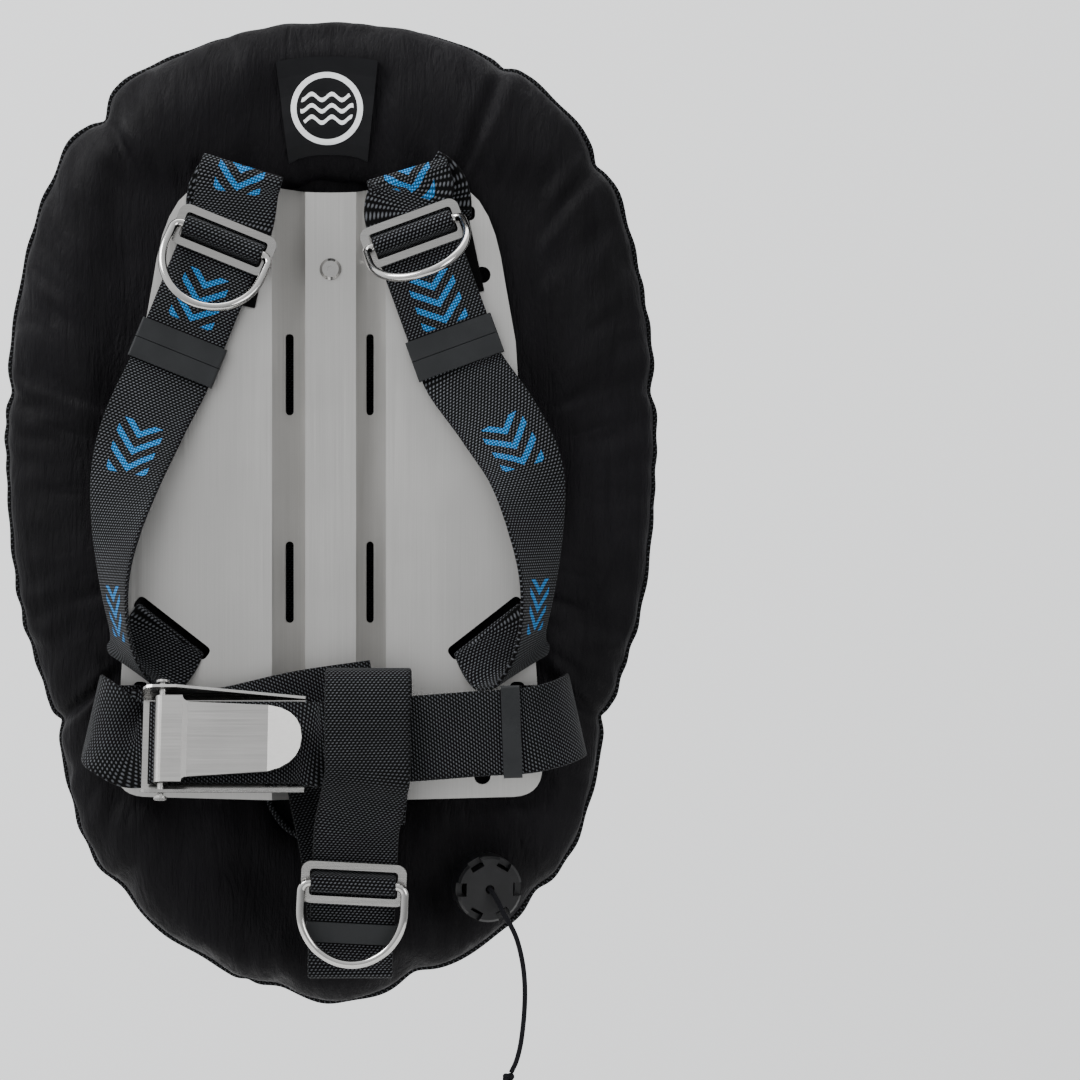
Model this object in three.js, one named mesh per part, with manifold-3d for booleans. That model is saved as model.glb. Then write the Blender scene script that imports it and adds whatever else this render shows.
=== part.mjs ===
// A diver's buoyancy compensator: a steel backplate with a webbing harness in front of it and a
// ring-shaped inflatable wing behind it. Millimetres, +Z up, the diver's side faces -Y.
// The origin is on the rear face of the plate's channel, midway between its two tank bolts.
import * as THREE from "three";
import { mergeVertices } from "three/addons/utils/BufferGeometryUtils.js";
import Module from "manifold-3d";

const wasm = await Module();
wasm.setup();

// ---------------------------------------------------------------- driving dimensions

// Clearance between pieces that touch.
const gap = 0.3;

// Harness webbing.
const webWidth = 50;
const webThick = 2.4;

// Backplate.
const plateThick = 3;
const plateHalfWidth = 128;
const plateTop = 192;
const plateBottom = -181;
const channelDepth = 22;
const channelFloorHalf = 15.3;
const channelMouthHalf = 34.2;
const cornerRadius = 17;
const tankBoltSpacing = 279.4;
const boltHoleRadius = 4.5;
const rigHoleRadius = 5;
const rigHoleX = 92;
const bandSlotWidth = 4.6;
const bandSlotLength = 49;
const bandSlotX = 24.2;
const bandSlotTopZ = 75.6;
const bandSlotLowZ = -49.4;
const webSlotHalf = 4.4;

// Where the webbing slots of the plate lie.
const shoulderSlotX = 60.6;
const shoulderSlotZ = 172;
const armSlotInset = 33.8;
const armSlotZ = -76.8;
const armSlotLean = 37.9;
const waistSlotInset = 15;
const waistSlotZ = -136;
const crotchSlotZ = -168;

// Wing.
const wingHalfWidth = 195;
const wingHalfHeight = 294;
const wingCentreZ = -7;
const bayHalfWidth = 55;
const bayTop = 200;
const bayBottom = -208;
const wingBackDepth = 46;
const wingFrontDepth = 21;
const wingRimDepth = 30;
const wingPanelThick = 2;
const shellWall = 1.6;
const bladderWall = 1.2;
const bladderGap = 1.2;

// Slides and D-rings.
const slideWidth = 62;
const slideHeight = 25;
const slideBar = 4.5;
const slideMiddleBar = 3;
const slideThick = 3;
const ringRod = 5;
const ringWidth = 66;
const ringDrop = 47;

// Waist buckle.
const buckleLength = 95;
const buckleTilt = 18;
const buckleBase = 2;
const earFlare = 15;
const earHeight = 16;
const earThick = 1.8;
const pinRadius = 2;
const leverThick = 1.6;
const barrelRadius = 4.2;

// Dump valve.
const valveNeckRadius = 16;
const valveCapRadius = 20;
const valveCapHeight = 17;
const valveTravel = 4;
const cordDiameter = 3;

// ---------------------------------------------------------------- derived levels

const plateBackY = -channelDepth;
const plateFrontY = plateBackY - plateThick;
const plateMidY = plateBackY - plateThick / 2;
const besidePlate = plateThick / 2 + gap + webThick / 2;
const armSlotX = plateHalfWidth - armSlotInset;
const waistSlotX = plateHalfWidth - waistSlotInset;
const webSlotLength = webWidth + 4;
const panelFrontY = webThick + 3 * gap;
const panelBackY = panelFrontY + wingPanelThick;
const wingMidY = panelFrontY + wingPanelThick / 2;

// ---------------------------------------------------------------- solids and meshes

const rad = THREE.MathUtils.degToRad;
const assembly = new THREE.Group();

function toSolid(geometry, matrix) {
  const bare = geometry.clone();
  bare.deleteAttribute("normal");
  bare.deleteAttribute("uv");
  if (matrix) bare.applyMatrix4(matrix);
  const merged = mergeVertices(bare, 1e-4);
  return new wasm.Manifold(
    new wasm.Mesh({
      numProp: 3,
      vertProperties: merged.attributes.position.array,
      triVerts: new Uint32Array(merged.index.array),
    }),
  );
}

function toGeometry(solid) {
  const mesh = solid.getMesh();
  const geometry = new THREE.BufferGeometry();
  geometry.setAttribute("position", new THREE.BufferAttribute(mesh.vertProperties, 3));
  geometry.setIndex(new THREE.BufferAttribute(mesh.triVerts, 1));
  return geometry;
}

const finishes = {
  steel: { color: 0xbfc0c2, roughness: 0.35, metalness: 1 },
  polished: { color: 0xc9c6bd, roughness: 0.18, metalness: 1 },
  webbing: { color: 0x24262a, roughness: 0.85, metalness: 0 },
  cloth: { color: 0x121216, roughness: 0.9, metalness: 0 },
  rubber: { color: 0x1f2529, roughness: 0.7, metalness: 0 },
  plastic: { color: 0x101012, roughness: 0.4, metalness: 0 },
  bladder: { color: 0x4a5058, roughness: 0.5, metalness: 0 },
  silicone: { color: 0x8a8a88, roughness: 0.6, metalness: 0 },
};

// Adds a geometry or a solid to the assembly as one named piece, placed by a matrix.
function addPiece(name, shape, finish, matrix) {
  const geometry = shape.isBufferGeometry ? shape : toGeometry(shape);
  const mesh = new THREE.Mesh(geometry, new THREE.MeshStandardMaterial(finishes[finish]));
  mesh.name = name;
  if (matrix) mesh.applyMatrix4(matrix);
  assembly.add(mesh);
  return mesh;
}

// A place on the harness: local x runs across to the right, y up along the piece, z towards the
// diver. lean lowers the right end, pitch sends the top back, turn sends the right end back.
function seat(x, y, z, lean = 0, pitch = 0, turn = 0) {
  const facing = new THREE.Matrix4().makeBasis(
    new THREE.Vector3(1, 0, 0),
    new THREE.Vector3(0, 0, 1),
    new THREE.Vector3(0, -1, 0),
  );
  return new THREE.Matrix4()
    .makeTranslation(x, y, z)
    .multiply(new THREE.Matrix4().makeRotationY(rad(lean)))
    .multiply(new THREE.Matrix4().makeRotationX(rad(-pitch)))
    .multiply(new THREE.Matrix4().makeRotationZ(rad(turn)))
    .multiply(facing);
}

function shifted(matrix, x, y, z) {
  return matrix.clone().multiply(new THREE.Matrix4().makeTranslation(x, y, z));
}

// A turned solid about local z from a list of [radius, height] corners.
function turned(corners, segments = 32) {
  const profile = corners.map(([radius, height]) => new THREE.Vector2(radius, height));
  const lathe = new THREE.LatheGeometry(profile, segments);
  return toSolid(lathe, new THREE.Matrix4().makeRotationX(Math.PI / 2));
}

function disc(radius, low, high, segments = 32) {
  return turned([[0, low], [radius, low], [radius, high], [0, high]], segments);
}

function tube(inner, outer, low, high, segments = 32) {
  return turned(
    [[inner, low], [outer, low], [outer, high], [inner, high], [inner, low]],
    segments,
  );
}

function block(x, y, z, matrix) {
  return toSolid(new THREE.BoxGeometry(x, y, z), matrix);
}

// A flat shape extruded along local z, centred on it.
function slab(shape, thickness, matrix, curveSegments = 5) {
  const geometry = new THREE.ExtrudeGeometry(shape, {
    depth: thickness,
    bevelEnabled: false,
    curveSegments,
  });
  geometry.translate(0, 0, -thickness / 2);
  return toSolid(geometry, matrix);
}

// A rectangle with round corners, centred, as a Shape or a Path.
function roundRect(width, height, radius, Kind = THREE.Shape) {
  const x = width / 2;
  const y = height / 2;
  const r = Math.min(radius, x - 0.01, y - 0.01);
  const outline = new Kind();
  outline.moveTo(-x + r, -y);
  outline.lineTo(x - r, -y);
  outline.absarc(x - r, -y + r, r, -Math.PI / 2, 0);
  outline.lineTo(x, y - r);
  outline.absarc(x - r, y - r, r, 0, Math.PI / 2);
  outline.lineTo(-x + r, y);
  outline.absarc(-x + r, y - r, r, Math.PI / 2, Math.PI);
  outline.lineTo(-x, -y + r);
  outline.absarc(-x + r, -y + r, r, Math.PI, 1.5 * Math.PI);
  return outline;
}

// ---------------------------------------------------------------- webbing

// One place on a strip of webbing: its centre, and the direction of its width.
function station(matrix) {
  const across = new THREE.Vector3().setFromMatrixColumn(matrix, 0);
  return { at: new THREE.Vector3().setFromMatrixPosition(matrix), across };
}

// The same, for a belt whose width stands upright: splay leans its top to the right, tilt back.
function beltStation(x, y, z, splay = 0, tilt = 0) {
  const across = new THREE.Vector3(
    Math.sin(rad(splay)),
    Math.cos(rad(splay)) * Math.sin(rad(tilt)),
    Math.cos(rad(splay)) * Math.cos(rad(tilt)),
  );
  return { at: new THREE.Vector3(x, y, z), across };
}

// A strip of webbing through a list of stations, as one closed band of rectangular section.
function ribbon(stations, stepsEach = 3, width = webWidth, thickness = webThick) {
  const path = new THREE.CatmullRomCurve3(stations.map((s) => s.at), false, "centripetal");
  const sides = new THREE.CatmullRomCurve3(
    stations.map((s) => s.across), false, "catmullrom", 0.5);
  const steps = (stations.length - 1) * stepsEach;
  const corners = [];
  const faces = [];
  for (let i = 0; i <= steps; i += 1) {
    const t = i / steps;
    const centre = path.getPoint(t);
    const along = path.getTangent(t);
    const up = along.clone().cross(sides.getPoint(t)).normalize();
    const across = up.clone().cross(along).normalize();
    for (const [a, b] of [[-1, -1], [1, -1], [1, 1], [-1, 1]]) {
      const corner = centre.clone()
        .addScaledVector(across, (a * width) / 2)
        .addScaledVector(up, (b * thickness) / 2);
      corners.push(corner.x, corner.y, corner.z);
    }
    if (i === 0) continue;
    const near = 4 * (i - 1);
    const far = 4 * i;
    for (let k = 0; k < 4; k += 1) {
      const next = (k + 1) % 4;
      const parallel = k < 2 ? [near + k, far + next] : [near + next, far + k];
      faces.push(near + k, near + next, parallel[1]);
      faces.push(parallel[0], far + next, far + k);
    }
  }
  const end = 4 * steps;
  faces.push(0, 2, 1, 0, 3, 2);
  faces.push(end, end + 1, end + 2, end, end + 2, end + 3);
  const geometry = new THREE.BufferGeometry();
  geometry.setAttribute("position", new THREE.Float32BufferAttribute(corners, 3));
  geometry.setIndex(faces);
  return geometry;
}

// Stations that take webbing through a slot, from behind below it to in front above it. The
// slot's matrix has x along the slot, y across it and z towards the diver.
function throughSlot(slot) {
  const bend = 3.2;
  const settle = 5.8;
  return [
    shifted(slot, 0, -settle - 6, -besidePlate),
    shifted(slot, 0, -settle, -besidePlate),
    shifted(slot, 0, -bend, -besidePlate * 0.87),
    shifted(slot, 0, 0, 0),
    shifted(slot, 0, bend, besidePlate * 0.87),
    shifted(slot, 0, settle, besidePlate),
  ];
}

// Stations that take webbing round the lower edge of a slot, from behind to in front.
function roundSlotEdge(slot) {
  const bends = [-90, -45, 0, 45, 90].map((angle) => shifted(
    slot,
    0,
    -webSlotHalf + besidePlate * Math.cos(rad(angle)),
    besidePlate * Math.sin(rad(angle)),
  ));
  return [shifted(slot, 0, -webSlotHalf - 13, -besidePlate), ...bends];
}

// Stations that take webbing down through a slide: behind its upper bar, over the ring's rod
// on the middle bar, and behind its lower bar.
const rodLift = slideThick / 2 + gap + ringRod / 2;
const roundRod = ringRod / 2 + 2 * gap + webThick / 2;
const underBar = slideThick / 2 + gap + webThick / 2;
function throughSlide(slide) {
  const outer = slideHeight / 2 - slideBar;
  const steps = [
    [outer + 6, -underBar],
    [outer + 0.4, -underBar],
    [outer - 2.1, -underBar * 0.72],
    [roundRod + 0.3, rodLift - 0.7 * roundRod],
    [roundRod, rodLift],
    [roundRod * Math.SQRT1_2, rodLift + roundRod * Math.SQRT1_2],
  ];
  const down = steps.map(([y, z]) => shifted(slide, 0, y, z));
  const up = steps.toReversed().map(([y, z]) => shifted(slide, 0, -y, z));
  return [...down, shifted(slide, 0, 0, rodLift + roundRod), ...up];
}

// ---------------------------------------------------------------- backplate

function plateOutline() {
  const half = new THREE.Path();
  const topDip = 6;
  const shoulderX = plateHalfWidth * 0.5;
  const sideTopX = plateHalfWidth * 0.825;
  const sideTopZ = plateTop - 61;
  const bendX = plateHalfWidth * 0.875;
  const bendZ = plateTop - 97;
  const bottomRise = 4;
  half.moveTo(0, plateTop - topDip);
  half.quadraticCurveTo(shoulderX / 2, plateTop - topDip, shoulderX, plateTop);
  half.bezierCurveTo(
    shoulderX + 27, plateTop, sideTopX - 5, sideTopZ + 36, sideTopX, sideTopZ);
  half.lineTo(bendX, bendZ);
  half.lineTo(plateHalfWidth, plateBottom + bottomRise + cornerRadius);
  half.quadraticCurveTo(
    plateHalfWidth, plateBottom + bottomRise,
    plateHalfWidth - cornerRadius, plateBottom + bottomRise - 1);
  half.lineTo(0, plateBottom);
  const right = half.getPoints(7);
  const left = right.slice(1, -1).reverse().map((p) => new THREE.Vector2(-p.x, p.y));
  return new THREE.Shape([...right, ...left].reverse());
}

// The plate's bent section, front edge then back edge, as a closed outline across X.
function plateSection() {
  const reach = plateHalfWidth + 10;
  const slope = Math.atan2(channelDepth, channelMouthHalf - channelFloorHalf);
  const shift = plateThick * Math.tan(slope / 2);
  const back = [
    [-reach, plateBackY],
    [-channelMouthHalf - shift, plateBackY],
    [-channelFloorHalf - shift, 0],
    [channelFloorHalf + shift, 0],
    [channelMouthHalf + shift, plateBackY],
    [reach, plateBackY],
  ];
  const front = [
    [reach, plateFrontY],
    [channelMouthHalf, plateFrontY],
    [channelFloorHalf, -plateThick],
    [-channelFloorHalf, -plateThick],
    [-channelMouthHalf, plateFrontY],
    [-reach, plateFrontY],
  ];
  return new THREE.Shape([...back, ...front].map(([x, y]) => new THREE.Vector2(x, y)));
}

const throughPlate = 80;
const shoulderSlot = (side) => seat(side * shoulderSlotX, plateMidY, shoulderSlotZ);
const armSlot = (side) => seat(side * armSlotX, plateMidY, armSlotZ, -side * armSlotLean);
const waistSlot = (side) => seat(side * waistSlotX, plateMidY, waistSlotZ, 90);
const crotchSlot = seat(0, plateMidY, crotchSlotZ);
const boltZ = tankBoltSpacing / 2;

function buildPlate() {
  const tall = plateTop - plateBottom + 20;
  const bent = slab(
    plateSection(), tall,
    new THREE.Matrix4().makeTranslation(0, 0, (plateTop + plateBottom) / 2));
  let plate = slab(plateOutline(), throughPlate, seat(0, 0, 0)).intersect(bent);
  const webSlot = roundRect(webSlotLength, 2 * webSlotHalf, 3);
  const slots = [-1, 1].flatMap((side) => [shoulderSlot(side), armSlot(side), waistSlot(side)]);
  for (const slot of [...slots, crotchSlot]) {
    plate = plate.subtract(slab(webSlot, throughPlate, slot, 2));
  }
  const bandSlot = roundRect(bandSlotWidth, bandSlotLength, bandSlotWidth / 2);
  for (const side of [-1, 1]) {
    for (const z of [bandSlotTopZ, bandSlotLowZ]) {
      plate = plate.subtract(slab(bandSlot, throughPlate, seat(side * bandSlotX, 0, z), 3));
    }
    for (const z of [boltZ - 4.7, boltZ - 305.3]) {
      const hole = disc(rigHoleRadius, -throughPlate, throughPlate, 16);
      plate = plate.subtract(hole.transform(seat(side * rigHoleX, 0, z).elements));
    }
  }
  for (const side of [-1, 1]) {
    const hole = disc(boltHoleRadius, -throughPlate, throughPlate, 16);
    plate = plate.subtract(hole.transform(seat(0, 0, side * boltZ).elements));
  }
  return plate;
}

addPiece("backplate", buildPlate(), "steel");

// ---------------------------------------------------------------- tank bolts

const boltShankRadius = boltHoleRadius - gap - 0.3;
const boltHeadRadius = 6.6;
const boltNutRadius = 8.5;
const boltNutHeight = 5;

function buildBoltPair(label, z) {
  const headAt = seat(0, -plateThick - gap, z);
  const shankEnd = -(plateThick + gap + panelBackY + gap + boltNutHeight - 1.8);
  const head = turned([
    [0, shankEnd], [boltShankRadius, shankEnd], [boltShankRadius, 0],
    [boltHeadRadius, 0], [boltHeadRadius, 1], [boltHeadRadius - 1.6, 2.4], [0, 2.4],
  ], 24);
  const socket = disc(2, 0.9, 4, 6);
  addPiece(`${label}_tank_screw`, head.subtract(socket), "steel", headAt);
  const nutAt = seat(0, panelBackY + gap, z);
  const nut = turned([
    [0, -boltNutHeight], [boltNutRadius, -boltNutHeight], [boltNutRadius, 0], [0, 0],
  ], 24);
  const bore = disc(boltShankRadius + gap, -boltNutHeight + 1.5, 1, 24);
  addPiece(`${label}_tank_nut`, nut.subtract(bore), "steel", nutAt);
}
buildBoltPair("upper", boltZ);
buildBoltPair("lower", -boltZ);

// ---------------------------------------------------------------- wing

// Right half of the wing's outline, as shares of its half width and half height.
const wingShape = [
  [0, 1], [0.32, 0.972], [0.63, 0.88], [0.85, 0.697], [0.954, 0.483], [1, 0.16],
  [0.959, -0.19], [0.851, -0.418], [0.769, -0.65], [0.615, -0.803], [0.308, -0.942], [0, -1],
];
const bayCentreZ = (bayTop + bayBottom) / 2;
const bayHalfHeight = (bayTop - bayBottom) / 2;

const wingOutline = (() => {
  const right = wingShape.map(([x, z]) => [x * wingHalfWidth, wingCentreZ + z * wingHalfHeight]);
  const left = right.slice(1, -1).reverse().map(([x, z]) => [-x, z]);
  const points = [...right, ...left].map(([x, z]) => new THREE.Vector3(x, 0, z));
  return new THREE.CatmullRomCurve3(points, true, "centripetal").getPoints(360);
})();

// Distance from the bay's centre to the wing's outline in the direction of an angle.
function outerRadius(angle) {
  const dx = Math.cos(angle);
  const dz = Math.sin(angle);
  for (let i = 0; i + 1 < wingOutline.length; i += 1) {
    const a = wingOutline[i];
    const b = wingOutline[i + 1];
    const ca = dx * (a.z - bayCentreZ) - dz * a.x;
    const cb = dx * (b.z - bayCentreZ) - dz * b.x;
    const ahead = dx * a.x + dz * (a.z - bayCentreZ) > 0;
    if (ca * cb <= 0 && ca !== cb && ahead) {
      const share = ca / (ca - cb);
      return Math.hypot(
        a.x + share * (b.x - a.x),
        a.z + share * (b.z - a.z) - bayCentreZ,
      );
    }
  }
  return wingHalfWidth;
}

// The same for the edge of the tank bay, a rounded oval.
function innerRadius(angle) {
  const power = 3;
  const x = Math.abs(Math.cos(angle)) / bayHalfWidth;
  const z = Math.abs(Math.sin(angle)) / bayHalfHeight;
  return (x ** power + z ** power) ** (-1 / power);
}

// A point on the inflated ring. round runs about the section: 0 at the bay's edge, pi at the
// outer edge, back side first. inset shrinks the ring by a wall.
function ringPoint(angle, round, inset) {
  const inner = innerRadius(angle) + inset;
  const outer = outerRadius(angle) - inset;
  const share = (1 - Math.cos(round)) / 2;
  const puff = Math.abs(Math.sin(round)) ** 0.75;
  const rim = THREE.MathUtils.smoothstep(share, 0.55, 0.85);
  const front = wingFrontDepth + (wingRimDepth - wingFrontDepth) * rim - inset;
  const depth = Math.sin(round) > 0 ? wingBackDepth - inset : -front;
  const radius = inner + (outer - inner) * share;
  return new THREE.Vector3(
    radius * Math.cos(angle),
    wingMidY + depth * puff,
    bayCentreZ + radius * Math.sin(angle),
  );
}

const ringSteps = 44;
const ringSides = 14;
function ringSolid(inset) {
  const corners = [];
  const faces = [];
  for (let i = 0; i < ringSteps; i += 1) {
    const angle = (2 * Math.PI * i) / ringSteps;
    for (let j = 0; j < ringSides; j += 1) {
      const p = ringPoint(angle, (2 * Math.PI * j) / ringSides, inset);
      corners.push(p.x, p.y, p.z);
    }
    const next = (i + 1) % ringSteps;
    for (let j = 0; j < ringSides; j += 1) {
      const k = (j + 1) % ringSides;
      const quad = [i * ringSides + j, i * ringSides + k, next * ringSides + k, next * ringSides + j];
      faces.push(quad[0], quad[2], quad[1], quad[0], quad[3], quad[2]);
    }
  }
  const geometry = new THREE.BufferGeometry();
  geometry.setAttribute("position", new THREE.Float32BufferAttribute(corners, 3));
  geometry.setIndex(faces);
  return toSolid(geometry);
}

// Local z of the valve and of the hose elbow points out of the wing.
const valveLean = 14;
const valveDrop = 6;
const valveAt = seat(91, -17, -230)
  .multiply(new THREE.Matrix4().makeRotationY(rad(valveLean)))
  .multiply(new THREE.Matrix4().makeRotationX(rad(valveDrop)));
const elbowAt = new THREE.Matrix4().makeTranslation(45, wingMidY + wingBackDepth, 228)
  .multiply(new THREE.Matrix4().makeRotationX(-Math.PI / 2));
const elbowNeckRadius = 13;
const portDepth = 30;
const portReach = 16;

function buildHollowRing(outerInset, wall) {
  const ports = [[valveAt, valveNeckRadius], [elbowAt, elbowNeckRadius]];
  let ring = ringSolid(outerInset).subtract(ringSolid(outerInset + wall));
  for (const [at, radius] of ports) {
    const cut = disc(radius + 0.4, -portDepth, portReach, 24);
    ring = ring.subtract(cut.transform(at.elements));
  }
  return ring;
}
addPiece("wing_shell", buildHollowRing(0, shellWall), "cloth");
addPiece("wing_bladder", buildHollowRing(shellWall + bladderGap, bladderWall), "bladder");

// The flat fabric panel across the tank bay, with slots for the tank bands and holes for the
// tank bolts, and the tape that binds its edge to the ring.
function bayOutline(inset, Kind = THREE.Shape) {
  const points = [];
  for (let i = 0; i < ringSteps; i += 1) {
    const angle = (2 * Math.PI * i) / ringSteps;
    const radius = innerRadius(angle) - inset;
    points.push(new THREE.Vector2(
      radius * Math.cos(angle),
      bayCentreZ + radius * Math.sin(angle),
    ));
  }
  return new Kind(points);
}

const bindingWidth = 9;
const bindingThick = 1.2;
const panelInset = 0.6;
function buildPanel() {
  let panel = slab(bayOutline(panelInset), wingPanelThick, seat(0, wingMidY, 0));
  const bandSlot = roundRect(bandSlotWidth + 2, bandSlotLength + 4, 2);
  for (const side of [-1, 1]) {
    for (const z of [bandSlotTopZ, bandSlotLowZ]) {
      panel = panel.subtract(slab(bandSlot, 20, seat(side * bandSlotX, wingMidY, z), 2));
    }
    const hole = disc(boltShankRadius + gap, -10, 10, 24);
    panel = panel.subtract(hole.transform(seat(0, wingMidY, side * boltZ).elements));
  }
  return panel;
}
addPiece("wing_center_panel", buildPanel(), "cloth");

const bindingShape = bayOutline(panelInset + 1);
bindingShape.holes.push(bayOutline(panelInset + 1 + bindingWidth, THREE.Path));
const bindingY = panelBackY + gap + bindingThick / 2;
addPiece("wing_bay_binding", slab(bindingShape, bindingThick, seat(0, bindingY, 0)), "webbing");

// ---------------------------------------------------------------- emblem patch

const patchThick = 1.8;
function buildPatch() {
  const across = 8;
  const down = 6;
  const left = 1.69;
  const right = 1.462;
  const sink = 1.5;
  const corners = [];
  const faces = [];
  for (const lift of [-sink, gap + patchThick]) {
    for (let i = 0; i <= across; i += 1) {
      for (let j = 0; j <= down; j += 1) {
        const angle = left + ((right - left) * i) / across;
        const round = -(0.62 + (1.5 * j) / down);
        const p = ringPoint(angle, round + 2 * Math.PI, 0);
        corners.push(p.x, p.y - lift, p.z);
      }
    }
  }
  const row = down + 1;
  const layer = (across + 1) * row;
  for (let i = 0; i < across; i += 1) {
    for (let j = 0; j < down; j += 1) {
      const a = i * row + j;
      faces.push(a, a + 1, a + row + 1, a, a + row + 1, a + row);
      faces.push(layer + a, layer + a + row + 1, layer + a + 1);
      faces.push(layer + a, layer + a + row, layer + a + row + 1);
    }
  }
  const wall = (a, b) => faces.push(a, layer + b, layer + a, a, b, layer + b);
  for (let i = 0; i < across; i += 1) {
    wall((i + 1) * row + down, i * row + down);
    wall(i * row, (i + 1) * row);
  }
  for (let j = 0; j < down; j += 1) {
    wall(j + 1, j);
    wall(across * row + j, across * row + j + 1);
  }
  const geometry = new THREE.BufferGeometry();
  geometry.setAttribute("position", new THREE.Float32BufferAttribute(corners, 3));
  geometry.setIndex(faces);
  const cloth = ringSolid(0).translate([0, -gap, 0]);
  return toSolid(geometry).subtract(cloth);
}
addPiece("emblem_patch", buildPatch(), "rubber");

// ---------------------------------------------------------------- slides, rings and keepers

function buildSlide() {
  const frame = roundRect(slideWidth, slideHeight, 6);
  const window = (slideHeight - 2 * slideBar - slideMiddleBar) / 2;
  const windowShape = roundRect(webWidth + 2, window, 2);
  let slide = slab(frame, slideThick, null, 4);
  for (const side of [-1, 1]) {
    const at = new THREE.Matrix4().makeTranslation(0, (side * (window + slideMiddleBar)) / 2, 0);
    slide = slide.subtract(slab(windowShape, 2 * slideThick, at, 2));
  }
  return slide;
}

// A D-ring bent from round rod. Its straight side is on local x, its bow hangs down local -y.
function buildRing() {
  const half = (ringWidth - ringRod) / 2;
  const corner = 5;
  const arms = 10;
  const bow = ringDrop - ringRod - arms - corner;
  const path = [];
  for (let k = 0; k <= 3; k += 1) {
    const a = rad(90 - 30 * k);
    path.push([half - corner + corner * Math.cos(a), -corner + corner * Math.sin(a)]);
  }
  for (let k = 0; k <= 12; k += 1) {
    const a = rad(-15 * k);
    path.push([half * Math.cos(a), -corner - arms + (bow + corner) * Math.sin(a)]);
  }
  for (let k = 0; k <= 3; k += 1) {
    const a = rad(180 - 30 * k);
    path.push([-half + corner + corner * Math.cos(a), -corner + corner * Math.sin(a)]);
  }
  return sweepFlatLoop(path, ringRod / 2, 8);
}

// A round rod carried round a closed path in the local xy plane.
function sweepFlatLoop(path, radius, sides) {
  const corners = [];
  const faces = [];
  const count = path.length;
  for (let i = 0; i < count; i += 1) {
    const [px, py] = path[(i + count - 1) % count];
    const [nx, ny] = path[(i + 1) % count];
    const size = Math.hypot(nx - px, ny - py);
    const outX = (ny - py) / size;
    const outY = -(nx - px) / size;
    for (let j = 0; j < sides; j += 1) {
      const a = (2 * Math.PI * (j + 0.5)) / sides;
      const out = radius * Math.cos(a);
      corners.push(path[i][0] + outX * out, path[i][1] + outY * out, radius * Math.sin(a));
    }
    const next = (i + 1) % count;
    for (let j = 0; j < sides; j += 1) {
      const k = (j + 1) % sides;
      const quad = [i * sides + j, next * sides + j, next * sides + k, i * sides + k];
      faces.push(quad[0], quad[1], quad[2], quad[0], quad[2], quad[3]);
    }
  }
  const geometry = new THREE.BufferGeometry();
  geometry.setAttribute("position", new THREE.Float32BufferAttribute(corners, 3));
  geometry.setIndex(faces);
  return geometry;
}

// Puts a slide and its D-ring on a strap; swing lifts the ring's bow towards the diver.
function addSlideAndRing(label, slide, swing) {
  addPiece(`${label}_slide`, buildSlide(), "steel", slide);
  const rod = shifted(slide, 0, 0, rodLift)
    .multiply(new THREE.Matrix4().makeRotationX(rad(-swing)));
  addPiece(`${label}_d_ring`, buildRing(), "polished", rod);
}

// A rubber band round one or more layers of webbing.
const keeperWall = 1.5;
const keeperGap = 0.5;
function addKeeper(name, at, length, layers = 1) {
  const inside = layers * webThick + 2 * keeperGap;
  const band = roundRect(webWidth + 2 * (keeperGap + keeperWall), inside + 2 * keeperWall, 1.4);
  band.holes.push(roundRect(webWidth + 2 * keeperGap, inside, 0.5, THREE.Path));
  const facing = at.clone().multiply(new THREE.Matrix4().makeRotationX(Math.PI / 2));
  addPiece(name, slab(band, length, null, 2), "rubber", facing);
}

// ---------------------------------------------------------------- shoulder straps

const strapStandoff = 14.5;
const strapPitch = 4;
const keeperLength = 12;
const upperKeeperDrop = 66.3;
const lowerKeeperDrop = upperKeeperDrop + keeperLength + 0.4;
const armLoopX = waistSlotX + 8.5;
const backingLength = 46;
const backingLean = 12;

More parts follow.
